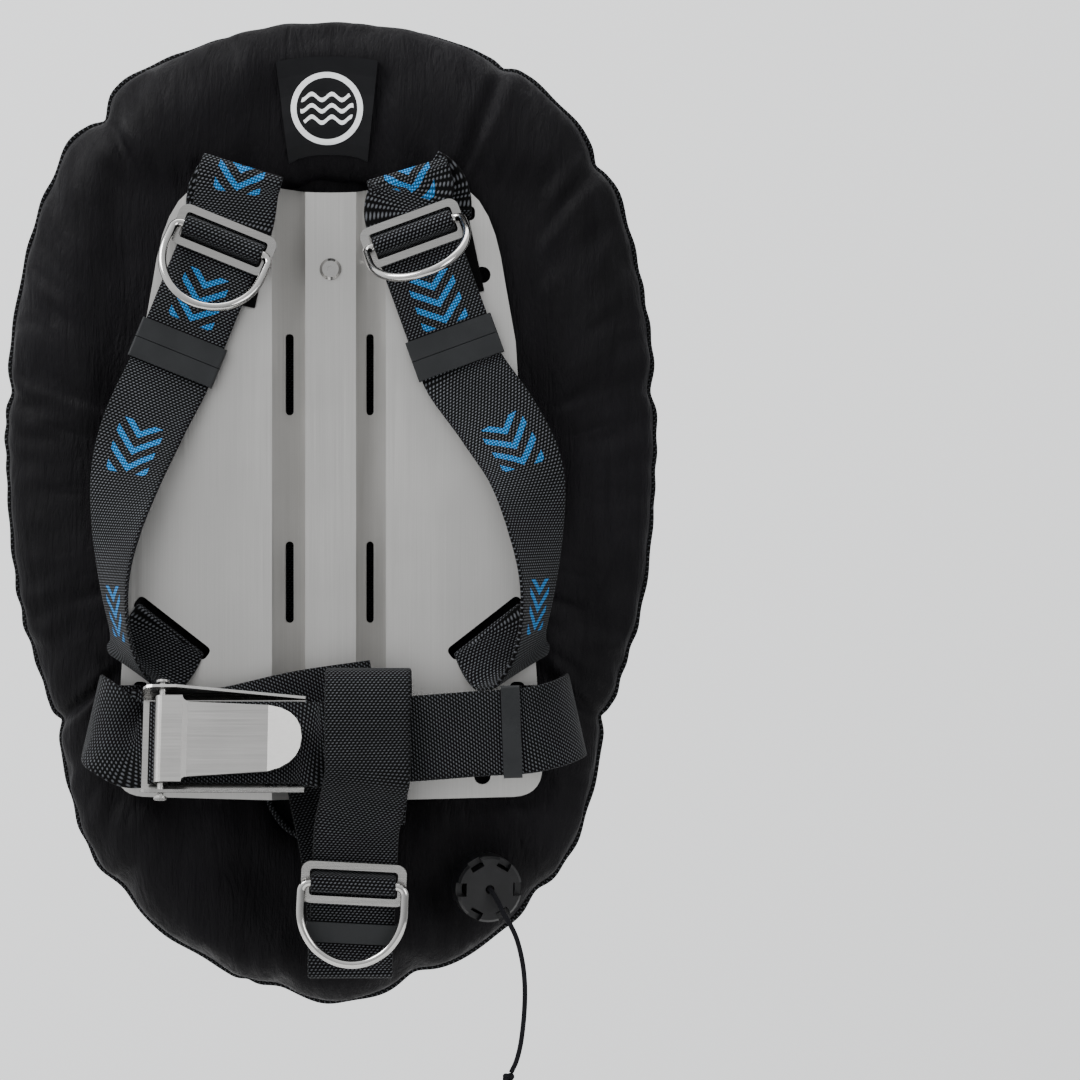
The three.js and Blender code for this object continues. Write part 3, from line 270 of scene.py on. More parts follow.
def grid_faces(rows: int, columns: int, close_rows: bool = False) -> np.ndarray:
    """Quads of a grid that closes round its columns.

    Args:
        rows: Number of rings of vertices.
        columns: Vertices in a ring.
        close_rows: True when the last ring joins the first.
    Returns:
        Array (m, 4) of vertex indices.
    """
    i = np.arange(rows if close_rows else rows - 1)[:, None]
    j = np.arange(columns)[None, :]
    nxt, k = (i + 1) % rows, (j + 1) % columns
    quads = [i * columns + j, i * columns + k, nxt * columns + k, nxt * columns + j]
    return np.stack([np.broadcast_to(q, (len(i), columns)) for q in quads], -1).reshape(-1, 4)


def swept(
    name: str,
    centre: np.ndarray,
    across: np.ndarray,
    up: np.ndarray,
    section: np.ndarray,
    closed: bool = False,
    reverse: np.ndarray | None = None,
) -> bpy.types.Object:
    """A section carried along a path.

    A vertex is centre + a * across + b * up, with (a, b) from the section. U is the girth and V
    the length along the path, both in metres.

    Args:
        name: The object's name.
        centre, across, up: Arrays (n, 3), millimetres and unit vectors.
        section: Array (m, 2) of (a, b) in millimetres, or (n, m, 2) where it changes.
        closed: True when the path is a loop.
        reverse: Columns whose faces are the reverse side, where V counts down from -1.
    Returns:
        The object.
    """
    section = np.broadcast_to(section, (len(centre), *np.shape(section)[-2:]))
    n, m = section.shape[:2]
    a, b = section[..., :1], section[..., 1:]
    co = centre[:, None] + a * across[:, None] + b * up[:, None]
    faces = grid_faces(n, m, closed)
    run = np.r_[0, np.cumsum(np.linalg.norm(np.diff(centre, axis=0), axis=1))]
    girth = section[0, :, 0]
    row, col = faces // m, faces % m
    length = run[row]
    if closed:
        wrap = (row == 0) & (row[:, [1]] == n - 1)
        length = np.where(wrap, run[-1], length)
    if reverse is not None:
        back = np.isin(col[:, :1], reverse)
        length = np.where(back, -length - 1 / MM, length)
    uv = np.stack([girth[col], length], -1) * MM
    polygons = faces.tolist()
    corners = [uv.reshape(-1, 2)]
    if not closed:
        polygons += [tuple(range(m))[::-1], tuple(range((n - 1) * m, n * m))]
        corners.append(np.stack([girth[::-1], np.zeros(m)], -1) * MM)
        corners.append(np.stack([girth, np.full(m, run[-1])], -1) * MM)
    return mesh_object(name, co.reshape(-1, 3) * MM, polygons, np.vstack(corners))


def strip(
    name: str, stations: Sequence, steps: int = 8, width: float | None = None
) -> bpy.types.Object:
    """A strip of webbing through stations, with rounded selvedges.

    Args:
        name: The object's name.
        stations: List of six-number stations.
        steps: Samples between neighbouring stations.
        width: Width in millimetres, the webbing's own when left out.
    Returns:
        The object.
    """
    data = np.asarray(stations, float)
    centre = spline(data[:, :3], steps)
    side = spline(data[:, 3:], steps, centripetal=False)
    along = unit(np.gradient(centre, axis=0))
    up = unit(np.cross(along, side))
    across = unit(np.cross(up, along))
    half, t = (width or SIZES.web_width) / 2, SIZES.web_thick / 2
    flat = np.linspace(-half + t, half - t, 13)
    bend = np.radians(np.linspace(90, -90, 5)[1:-1])
    right = np.column_stack([half - t + t * np.cos(bend), t * np.sin(bend)])
    top = np.column_stack([flat, np.full(13, t)])
    section = np.vstack([top, right, top[::-1] * (1, -1), right[::-1] * (-1, 1)])
    section = section[::-1]
    back = np.flatnonzero(section[:, 1] < 0)
    return swept(name, centre, across, up, section, reverse=back)


def rod(
    name: str, path: np.ndarray, radius: float, sides: int = 20, closed: bool = False
) -> bpy.types.Object:
    """A round rod or cord along a path.

    The frame is carried along by removing the part of the last width vector that lies on the
    new tangent.

    Args:
        name: The object's name.
        path: Array (n, 3) in millimetres.
        radius: Its radius in millimetres.
        sides: Vertices in a ring.
        closed: True when the path is a loop.
    Returns:
        The object.
    """
    along = np.gradient(path, axis=0)
    if closed:
        along = np.roll(path, -1, 0) - np.roll(path, 1, 0)
    along = unit(along)
    side = np.zeros_like(path)
    last = unit(np.cross(along[0], np.array([0.31, 0.9, 0.2])))
    for i, t in enumerate(along):
        last = unit(last - t * (last @ t))
        side[i] = last
    angle = 2 * np.pi * np.arange(sides) / sides
    section = radius * np.column_stack([np.cos(angle), np.sin(angle)])
    return swept(name, path, side, np.cross(along, side), section, closed)


# ------------------------------------------------------------------------------ finishes


class Tree:
    """A material's node tree, with short ways to add the usual nodes."""

    def __init__(self, name: str) -> None:
        """Makes an empty material with one Principled shader."""
        self.material = bpy.data.materials.new(name)
        self.material.use_nodes = True
        self.nodes = self.material.node_tree.nodes
        self.links = self.material.node_tree.links
        self.shader = self.nodes["Principled BSDF"]
        self.object = self.add("ShaderNodeTexCoord").outputs["Object"]
        self.uv = self.nodes[-1].outputs["UV"]

    def add(self, kind: str, **values: object) -> bpy.types.Node:
        """Adds a node and sets its properties."""
        node = self.nodes.new(kind)
        for key, value in values.items():
            setattr(node, key, value)
        return node

    def put(self, socket: Socket, value: object) -> None:
        """Links an output to a socket, or sets the socket to a constant."""
        if isinstance(value, bpy.types.NodeSocket):
            self.links.new(value, socket)
        else:
            socket.default_value = value

    def math(self, operation: str, a: Value, b: Value = 0.0, c: Value = 0.0) -> Socket:
        """A Math node's output."""
        node = self.add("ShaderNodeMath", operation=operation)
        for socket, value in zip(node.inputs, (a, b, c)):
            self.put(socket, value)
        return node.outputs[0]

    def split(self, vector: Socket) -> Sequence:
        """The three parts of a vector."""
        node = self.add("ShaderNodeSeparateXYZ")
        self.put(node.inputs[0], vector)
        return node.outputs

    def scaled(self, vector: Socket, x: float, y: float, z: float) -> Socket:
        """A vector scaled part by part."""
        node = self.add("ShaderNodeMapping")
        self.put(node.inputs["Vector"], vector)
        node.inputs["Scale"].default_value = (x, y, z)
        return node.outputs[0]

    def noise(
        self,
        vector: Socket,
        scale: float,
        detail: float = 4.0,
        roughness: float = 0.55,
        distortion: float = 0.0,
    ) -> Socket:
        """A noise texture's value.

        Args:
            vector: The place it is read at.
            scale, detail, roughness, distortion: The node's settings.
        Returns:
            The output socket.
        """
        node = self.add("ShaderNodeTexNoise")
        self.put(node.inputs["Vector"], vector)
        for key, value in (
            ("Scale", scale),
            ("Detail", detail),
            ("Roughness", roughness),
            ("Distortion", distortion),
        ):
            node.inputs[key].default_value = value
        return node.outputs[0]

    def span(
        self, value: Value, low: float, high: float, to_low: float = 0.0, to_high: float = 1.0
    ) -> Socket:
        """A value remapped from one range to another, held at the ends.

        Args:
            value: The input.
            low, high: Its range.
            to_low, to_high: The range it is given.
        Returns:
            The output socket.
        """
        node = self.add("ShaderNodeMapRange")
        for socket, item in zip(node.inputs, (value, low, high, to_low, to_high)):
            self.put(socket, item)
        return node.outputs[0]

    def mix(self, share: Value, a: object, b: object) -> Socket:
        """Two colours mixed by a share.

        Args:
            share: 0 for the first, 1 for the second.
            a, b: The colours.
        Returns:
            The output socket.
        """
        node = self.add("ShaderNodeMix", data_type="RGBA")
        self.put(node.inputs[0], share)
        self.put(node.inputs[6], a)
        self.put(node.inputs[7], b)
        return node.outputs[2]

    def wave(self, value: Socket, period: float) -> Socket:
        """A smooth wave from 0 to 1 along a length."""
        turns = self.math("MULTIPLY", value, 2 * math.pi / period)
        return self.math("MULTIPLY_ADD", self.math("SINE", turns), 0.5, 0.5)

    def bump(
        self, height: Socket, distance: float, strength: float = 1.0, normal: Socket | None = None
    ) -> Socket:
        """A bump node's normal from a height of 0 to 1.

        Args:
            height: The height's socket.
            distance: What a height of 1 stands for, in metres.
            strength: Share of the effect.
            normal: A normal to add to, if any.
        Returns:
            The normal's socket.
        """
        node = self.add("ShaderNodeBump")
        self.put(node.inputs["Height"], height)
        node.inputs["Distance"].default_value = distance
        node.inputs["Strength"].default_value = strength
        if normal is not None:
            self.put(node.inputs["Normal"], normal)
        return node.outputs[0]

    def finish(self, **values: object) -> bpy.types.Material:
        """Sets the shader's inputs by name, with spaces for underscores, and returns it."""
        for key, value in values.items():
            self.put(self.shader.inputs[key.replace("_", " ")], value)
        return self.material


def grey(value: float, tint: tuple = (1.0, 1.0, 1.0)) -> tuple:
    """An opaque colour of one brightness with a tint."""
    return (*(value * t for t in tint), 1.0)


class Grain(Enum):
    """The direction in which a metal is brushed."""

    UPRIGHT = (1400.0, 1400.0, 9.0)
    ACROSS = (12.0, 1400.0, 1400.0)
    NONE = (60.0, 60.0, 60.0)


@dataclass(frozen=True)
class Steel:
    """Stainless steel with brushed grain, handling marks and uneven polish."""

    name: str
    brightness: float
    roughness: float
    grain: Grain
    depth: float = 0.00002

    def build(self) -> bpy.types.Material:
        """Returns the material."""
        t = Tree(self.name)
        lines = t.noise(t.scaled(t.object, *self.grain.value), 1.0, 6.0, 0.7)
        cloudy = t.noise(t.object, 22.0, 3.0)
        marks = t.noise(t.scaled(t.object, 90, 90, 90), 1.0, 8.0, 0.8, 1.5)
        marks = t.span(marks, 0.62, 0.72)
        tone = t.span(lines, 0.3, 0.7, self.brightness * 0.9, self.brightness * 1.06)
        tone = t.math("MULTIPLY_ADD", cloudy, 0.06, tone)
        colour = t.mix(t.math("MINIMUM", tone, 1.0), grey(0.0), grey(1.0, (1.0, 0.985, 0.96)))
        rough = t.span(lines, 0.3, 0.7, self.roughness * 0.75, self.roughness * 1.25)
        rough = t.math("MULTIPLY_ADD", cloudy, 0.08, rough)
        rough = t.math("MULTIPLY_ADD", marks, 0.12, rough)
        normal = t.bump(lines, self.depth, 0.6)
        return t.finish(
            Base_Color=colour, Metallic=1.0, Roughness=rough, Normal=normal
        )


@dataclass(frozen=True)
class Webbing:
    """Woven strap: diagonal ribs, selvedges, fuzz, faded wear and a woven blue motif."""

    name: str
    motif: bool
    shade: float = 0.009
    rib: float = 0.0024
    pick: float = 0.0016
    repeat: float = 0.099
    start: float = 0.003

    def build(self) -> bpy.types.Material:
        """Returns the material."""
        t = Tree(self.name)
        u, v = t.split(t.uv)[:2]
        rows = t.wave(v, self.pick)
        ends = t.wave(t.math("MULTIPLY_ADD", v, 0.75, u), self.rib)
        weave = t.math("MULTIPLY", rows, ends)
        edge = t.span(t.math("ABSOLUTE", u), 0.0215, 0.0245)
        fuzz = t.noise(t.object, 900.0, 3.0)
        worn = t.noise(t.object, 14.0, 5.0, 0.6)
        tone = t.span(weave, 0.25, 0.85, self.shade * 0.05, self.shade * 8)
        tone = t.math("MULTIPLY", tone, t.span(worn, 0.3, 0.75, 0.8, 1.35))
        tone = t.math("MULTIPLY", tone, t.span(edge, 0, 1, 1.0, 0.75))
        tone = t.math("MULTIPLY", tone, t.span(fuzz, 0.3, 0.7, 0.85, 1.15))
        colour = t.mix(tone, grey(0.0), grey(1.0, (0.93, 0.98, 1.08)))
        if self.motif:
            colour = t.mix(self.chevrons(t, u, v), colour, (0.012, 0.19, 0.50, 1.0))
        height = t.math("MULTIPLY_ADD", fuzz, 0.25, weave)
        normal = t.bump(height, 0.00022, 0.8)
        return t.finish(
            Base_Color=colour,
            Roughness=t.span(weave, 0, 1, 0.92, 0.72),
            Normal=normal,
            Specular_IOR_Level=0.07,
            Sheen_Weight=0.02,
            Sheen_Roughness=0.5,
        )

    def chevrons(self, t: Tree, u: Socket, v: Socket) -> Socket:
        """A stack of woven chevrons in the middle of each repeat.

        Args:
            t: The material's tree.
            u, v: Sockets for the place across and along the strap.
        Returns:
            A mask from 0 to 1.
        """
        place = t.math("FRACT", t.math("DIVIDE", t.math("ADD", v, self.start), self.repeat))
        along = t.math("MULTIPLY_ADD", place, self.repeat, -self.repeat / 2)
        side = t.math("ABSOLUTE", u)
        inside = t.math("LESS_THAN", t.math("ABSOLUTE", along), 0.016)
        inside = t.math("MULTIPLY", inside, t.math("LESS_THAN", side, 0.014))
        inside = t.math("MULTIPLY", inside, t.math("GREATER_THAN", v, 0.0))
        phase = t.math("DIVIDE", t.math("MULTIPLY_ADD", side, 0.8, along), 0.0105)
        stripe = t.math("LESS_THAN", t.math("FRACT", phase), 0.42)
        dots = t.math("MULTIPLY", t.wave(v, self.pick), t.wave(u, self.pick))
        thread = t.span(dots, 0.1, 0.6, 0.15, 1.0)
        return t.math("MULTIPLY", t.math("MULTIPLY", inside, stripe), thread)


@dataclass(frozen=True)
class WingCloth:
    """Coated nylon: fine plain weave, upright crinkles and a low cool sheen."""

    name: str
    shade: float = 0.0019
    thread: float = 0.0009

    def build(self) -> bpy.types.Material:
        """Returns the material."""
        t = Tree(self.name)
        x, _, z = t.split(t.object)
        weave = t.math("MULTIPLY", t.wave(x, self.thread), t.wave(z, self.thread))
        crinkle = t.noise(t.scaled(t.object, 110, 60, 16), 1.0, 6.0, 0.62, 1.2)
        fine = t.noise(t.scaled(t.object, 520, 300, 130), 1.0, 4.0, 0.65)
        worn = t.noise(t.object, 9.0, 4.0, 0.6)
        tone = t.span(worn, 0.3, 0.75, self.shade * 0.8, self.shade * 1.8)
        tone = t.math("MULTIPLY", tone, t.span(weave, 0, 1, 0.8, 1.2))
        colour = t.mix(tone, grey(0.0), grey(1.0, (0.98, 0.86, 1.15)))
        normal = t.bump(crinkle, 0.0035, 0.55)
        normal = t.bump(fine, 0.0012, 0.7, normal)
        normal = t.bump(weave, 0.0001, 0.35, normal)
        return t.finish(
            Base_Color=colour,
            Roughness=t.span(crinkle, 0.35, 0.7, 0.52, 0.72),
            Normal=normal,
            Specular_IOR_Level=0.07,
            Sheen_Weight=0.006,
            Sheen_Roughness=0.4,
            Sheen_Tint=(0.55, 0.55, 0.75, 1.0),
        )


@dataclass(frozen=True)
class Moulded:
    """Rubber or plastic: fine moulded texture, dust and worn patches."""

    name: str
    colour: tuple
    roughness: float
    texture: float = 0.00006
    dust: float = 0.4
    gloss: float = 0.22

    def build(self) -> bpy.types.Material:
        """Returns the material."""
        t = Tree(self.name)
        pebble = t.noise(t.object, 1600.0, 2.0)
        cloudy = t.noise(t.object, 45.0, 5.0, 0.65)
        dusty = t.math("MULTIPLY", t.span(cloudy, 0.45, 0.75), self.dust)
        pale = tuple(min(1.0, 0.006 + 2.2 * c) for c in self.colour)
        colour = t.mix(dusty, (*self.colour, 1.0), (*pale, 1.0))
        rough = t.span(cloudy, 0.3, 0.7, self.roughness * 0.85, min(1.0, self.roughness * 1.2))
        return t.finish(
            Base_Color=colour,
            Roughness=rough,
            Specular_IOR_Level=self.gloss,
            Normal=t.bump(pebble, self.texture, 0.5),
        )


@dataclass(frozen=True)
class Emblem:
    """The moulded rubber patch: a plain raised white ring round three waves."""

    name: str
    centre: tuple = (-0.0015, 0.2355)
    radius: float = 0.0200
    line: float = 0.0017

    def build(self) -> bpy.types.Material:
        """Returns the material."""
        t = Tree(self.name)
        x, _, z = t.split(t.object)
        dx = t.math("SUBTRACT", x, self.centre[0])
        dz = t.math("SUBTRACT", z, self.centre[1])
        away = t.math("SQRT", t.math("ADD", t.math("POWER", dx, 2.0), t.math("POWER", dz, 2.0)))
        off_ring = t.math("ABSOLUTE", t.math("SUBTRACT", away, self.radius))
        mark = t.math("LESS_THAN", off_ring, self.line)
        swell = t.math("MULTIPLY", t.math("SINE", t.math("MULTIPLY", dx, 520.0)), 0.0018)
        for level in (-0.0068, 0.0, 0.0068):
            off_wave = t.math("ABSOLUTE", t.math("SUBTRACT", t.math("SUBTRACT", dz, level), swell))
            wave = t.math("LESS_THAN", off_wave, self.line * 0.75)
            within = t.math("LESS_THAN", away, self.radius - 0.0040)
            mark = t.math("MAXIMUM", mark, t.math("MULTIPLY", wave, within))
        cloudy = t.noise(t.object, 60.0, 5.0, 0.6)
        rubber = t.mix(cloudy, (0.0014, 0.0015, 0.002, 1.0), (0.005, 0.005, 0.006, 1.0))
        colour = t.mix(mark, rubber, (0.62, 0.63, 0.64, 1.0))
        pebble = t.noise(t.object, 1500.0, 2.0)
        height = t.math("MULTIPLY_ADD", pebble, 0.12, mark)
        return t.finish(
            Base_Color=colour,
            Roughness=t.span(cloudy, 0.3, 0.7, 0.5, 0.68),
            Specular_IOR_Level=0.12,
            Normal=t.bump(height, 0.0005, 0.7),
        )


FINISHES = {
    "plate": Steel("brushed_plate", 0.39, 0.33, Grain.UPRIGHT),
    "polished": Steel("polished_steel", 0.31, 0.09, Grain.NONE, 0.000008),
    "fitting": Steel("fitting_steel", 0.26, 0.22, Grain.ACROSS),
    "satin": Steel("satin_steel", 0.22, 0.36, Grain.ACROSS),
    "webbing": Webbing("harness_webbing", motif=True),
    "belt": Webbing("belt_webbing", motif=False, shade=0.0065),
    "tape": Webbing("binding_tape", motif=False, shade=0.004),
    "cloth": WingCloth("wing_cloth"),
    "rubber": Moulded("black_rubber", (0.004, 0.0047, 0.0055), 0.55, dust=0.3),
    "plastic": Moulded("black_plastic", (0.004, 0.004, 0.0045), 0.36, dust=0.2),
    "film": Moulded("bladder_film", (0.06, 0.07, 0.08), 0.45),
    "silicone": Moulded("seal_silicone", (0.35, 0.35, 0.34), 0.5),
    "cord": Moulded("braided_cord", (0.003, 0.003, 0.004), 0.85, texture=0.0004, gloss=0.08),
    "emblem": Emblem("emblem_rubber"),
}


class Wardrobe:
    """Builds each finish once and dresses objects in it."""

    def __init__(self) -> None:
        """Builds every material."""
        self.made = {key: finish.build() for key, finish in FINISHES.items()}

    def dress(self, obj: bpy.types.Object, key: str) -> bpy.types.Object:
        """Gives an object one finish in place of what it wore.

        Args:
            obj: The object.
            key: The finish's name in FINISHES.
        Returns:
            The object.
        """
        obj.data.materials.clear()
        obj.data.materials.append(self.made[key])
        return obj


# ------------------------------------------------------------------------------ carried over


@dataclass
class CarriedPieces:
    """CAD nodes that stay in view, with softened edges and a finish each."""

    finishes: dict = field(
        default_factory=lambda: {
            "plate": ["backplate"],
            "satin": ["buckle_lever"],
            "polished": ["upper_tank_screw", "lower_tank_screw"],
            "fitting": [
                "left_shoulder_slide", "right_shoulder_slide", "crotch_slide",
                "buckle_frame", "buckle_pin", "upper_tank_nut", "lower_tank_nut", "valve_spring",
            ],
            "rubber": [
                "left_upper_keeper", "left_lower_keeper", "right_upper_keeper",
                "right_lower_keeper", "waist_keeper", "crotch_keeper", "valve_gasket",
                "elbow_gasket",
            ],
            "plastic": ["valve_seat", "valve_poppet", "valve_cap", "elbow_seat", "elbow_body"],
            "cloth": ["wing_center_panel"],
            "tape": ["wing_bay_binding"],
            "silicone": ["valve_seal"],
            "emblem": ["emblem_patch"],
            "belt": ["left_shoulder_backing", "right_shoulder_backing"],
        }
    )
    bevels: dict = field(
        default_factory=lambda: {"plate": 0.5, "fitting": 0.55, "rubber": 0.5, "plastic": 0.45,
                                 "polished": 0.35, "satin": 0.35}
    )
    smooth_angle: float = 38

    def build(self, wardrobe: Wardrobe) -> None:
        """Shades, bevels and dresses each node."""
        for key, names in self.finishes.items():
            for name in names:
                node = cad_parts[name]
                node.data.shade_smooth()
                node.data.set_sharp_from_angle(angle=math.radians(self.smooth_angle))
                if key in self.bevels and name != "valve_spring":
                    bevel = node.modifiers.new("soft_edges", "BEVEL")
                    bevel.width = self.bevels[key] * MM
                    bevel.segments = 2
                    bevel.limit_method = "ANGLE"
                    bevel.angle_limit = math.radians(50)
                    bevel.harden_normals = True
                wardrobe.dress(node, key)


# ------------------------------------------------------------------------------ harness


def through_slot(slot: np.ndarray) -> list:
    """Places that take webbing through a slot, from behind below it to in front above it.

    Args:
        slot: The slot's place.
    Returns:
        List of places.
    """
    out = SIZES.beside_plate
    steps = [(-11.8, -out), (-5.8, -out), (-3.2, -0.87 * out), (0, 0), (3.2, 0.87 * out), (5.8, out)]
    return [shifted(slot, 0, y, z) for y, z in steps]


def round_slot_edge(slot: np.ndarray) -> list:
    """Places that take webbing round the lower edge of a slot, from behind to in front.

    Args:
        slot: The slot's place.
    Returns:
        List of places.
    """
    out, half = SIZES.beside_plate, SIZES.web_slot_half
    bends = [
        shifted(slot, 0, -half + out * math.cos(math.radians(a)), out * math.sin(math.radians(a)))
        for a in (-90, -45, 0, 45, 90)
    ]
    return [shifted(slot, 0, -half - 13, -out), *bends]


def through_slide(slide: np.ndarray) -> list:
    """Places that take webbing through a slide and over the ring's rod on its middle bar.

    Args:
        slide: The slide's place.
    Returns:
        List of places.
    """
    round_rod = SIZES.ring_rod / 2 + 2 * SIZES.gap + SIZES.web_thick / 2
    outer = SIZES.slide_height / 2 - SIZES.slide_bar
    under, lift, diagonal = SIZES.under_bar, SIZES.rod_lift, round_rod * math.sqrt(0.5)
    steps = [
        (outer + 6, -under),
        (outer + 0.4, -under),
        (outer - 2.1, -0.72 * under),
        (round_rod + 0.3, lift - 0.7 * round_rod),
        (round_rod, lift),
        (diagonal, lift + diagonal),
    ]
    down = [shifted(slide, 0, y, z) for y, z in steps]
    up = [shifted(slide, 0, -y, z) for y, z in reversed(steps)]
    return [*down, shifted(slide, 0, 0, lift + round_rod), *up]


def ring_path() -> np.ndarray:
    """The centreline of a D-ring in its own plane, straight side on X and bow down."""
    half, corner, arms = (SIZES.ring_width - SIZES.ring_rod) / 2, 5, 10
    bow = SIZES.ring_drop - SIZES.ring_rod - arms - corner
    a = np.radians(np.linspace(90, 0, 8))
    first = np.column_stack([half - corner + corner * np.cos(a), -corner + corner * np.sin(a)])
    b = np.radians(np.linspace(0, -180, 40))
    middle = np.column_stack([half * np.cos(b), -corner - arms + (bow + corner) * np.sin(b)])
    last = first[::-1] * (-1, 1)
    x = np.linspace(-half + corner, half - corner, 16)[1:-1]
    rest = np.column_stack([x, np.zeros_like(x)])
    return np.vstack([first, middle, last, rest])


@dataclass
class SlideAndRing:
    """A D-ring that hinges on a slide's middle bar."""

    label: str
    body: str
    slide: np.ndarray
    swing: float

    def build(self, wardrobe: Wardrobe) -> None:
        """Makes the ring, which rides on its own body."""
        place = shifted(self.slide, 0, 0, SIZES.rod_lift) @ turn(0, -self.swing)
        flat = ring_path()
        points = np.column_stack([flat, np.zeros(len(flat)), np.ones(len(flat))])
        ring = rod(
            f"{self.label}_ring", (points @ place.T)[:, :3], SIZES.ring_rod / 2, 20, closed=True
        )
        wardrobe.dress(ring, "polished")
        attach(ring, self.body)
        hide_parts(f"{self.label}_d_ring")


@dataclass
class ShoulderStrap:
    """A shoulder strap from its slot, over the top, down through its slide to the arm slot."""

    side: int
    label: str
    slide_x: float
    slide_z: float
    lean: float
    fold_x: float
    fold_z: float
    inboard: float
    swing: float
    standoff: float = 14.5
    pitch: float = 4

    def place(
        self, x: float, out: float, z: float, lean: float, swing: float = 0.0
    ) -> np.ndarray:
        """A place given for the right side, mirrored for the left.

        Args:
            x: Distance from the middle in millimetres.
            out: Distance in front of the plate's middle.
            z: Height.
            lean: Degrees by which the outer end is raised.
            swing: Degrees by which the outer end goes back.
        Returns:
            The place's matrix.
        """
        y = SIZES.plate_mid_y - out
        return seat(self.side * x, y, z, -self.side * lean, 0, self.side * swing)

    def stations(self) -> list:
        """The strap's stations, from behind the plate's top to behind the arm slot."""
        at, out, near = self.place, self.standoff, SIZES.beside_plate
        top, fx, fz = SIZES.shoulder_slot_z, self.fold_x, self.fold_z
        slot_x = SIZES.shoulder_slot_x
        slide = self.slide_place()
        fold = [
            at(0.85 * slot_x + 0.15 * fx, near + 0.8, top + 12, 8),
            at(0.3 * slot_x + 0.7 * fx, near + 1.2, fz - 8, 15),
            at(fx + 1, near + 2, fz - 2.5, 16),
            at(fx, near + 5.2, fz, 17),
            at(fx + 0.8, near + 8.2, fz - 3, 17),
            at(fx + 3, out - 3.4, fz - 11, 0.9 * self.lean),
        ]
        keeper = 66.3
        straight = [
            shifted(slide, 0, -drop, -SIZES.under_bar)
            for drop in (keeper - 14, keeper, keeper + 12.4, keeper + 21.4)
        ]
        loop_x, arm = SIZES.waist_slot_x + 8.5, SIZES.arm_slot_z
        run = [
            at(loop_x - 14 - self.inboard, out + 12, arm + 124, 24, 8),
            at(loop_x - 4, out + 18, arm + 95, 28, 26),
            at(loop_x + 3, out + 22, arm + 55, 16, 52),
            at(loop_x + 4, out + 22, arm + 26, 6, 66),
            at(loop_x + 0.5, out + 20, arm - 2, 6, 72),
            at(loop_x - 3, out + 15, arm - 17, 14, 66),
            at(loop_x - 8, out + 5, arm - 25, 32, 48),
            at(loop_x - 14.5, out - 3.4, arm - 23, 38, 24),
            at(loop_x - 20, out - 8, arm - 14, 38, 6),
        ]
        shoulder = seat(self.side * slot_x, SIZES.plate_mid_y, top)
        lean = -self.side * SIZES.arm_slot_lean
        arm_slot = seat(self.side * SIZES.arm_slot_x, SIZES.plate_mid_y, arm, lean)
        places = [
            *through_slot(shoulder), *fold, *through_slide(slide), *straight, *run,
            *reversed(round_slot_edge(arm_slot)),
        ]
        return [as_station(m) for m in places]

    def slide_place(self) -> np.ndarray:
        """Where the slide lies on the strap."""
        y = SIZES.plate_mid_y - self.standoff
        return seat(self.side * self.slide_x, y, self.slide_z, -self.side * self.lean, self.pitch)

    def build(self, wardrobe: Wardrobe) -> None:
        """Makes the strap and its ring."""
        strap = strip(f"{self.label}_shoulder_strap", self.stations())
        wardrobe.dress(strap, "webbing")
        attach(strap, "harness")
        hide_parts(f"{self.label}_shoulder_webbing")
        SlideAndRing(
            f"{self.label}_shoulder", f"{self.label}_ring", self.slide_place(), self.swing
        ).build(wardrobe)


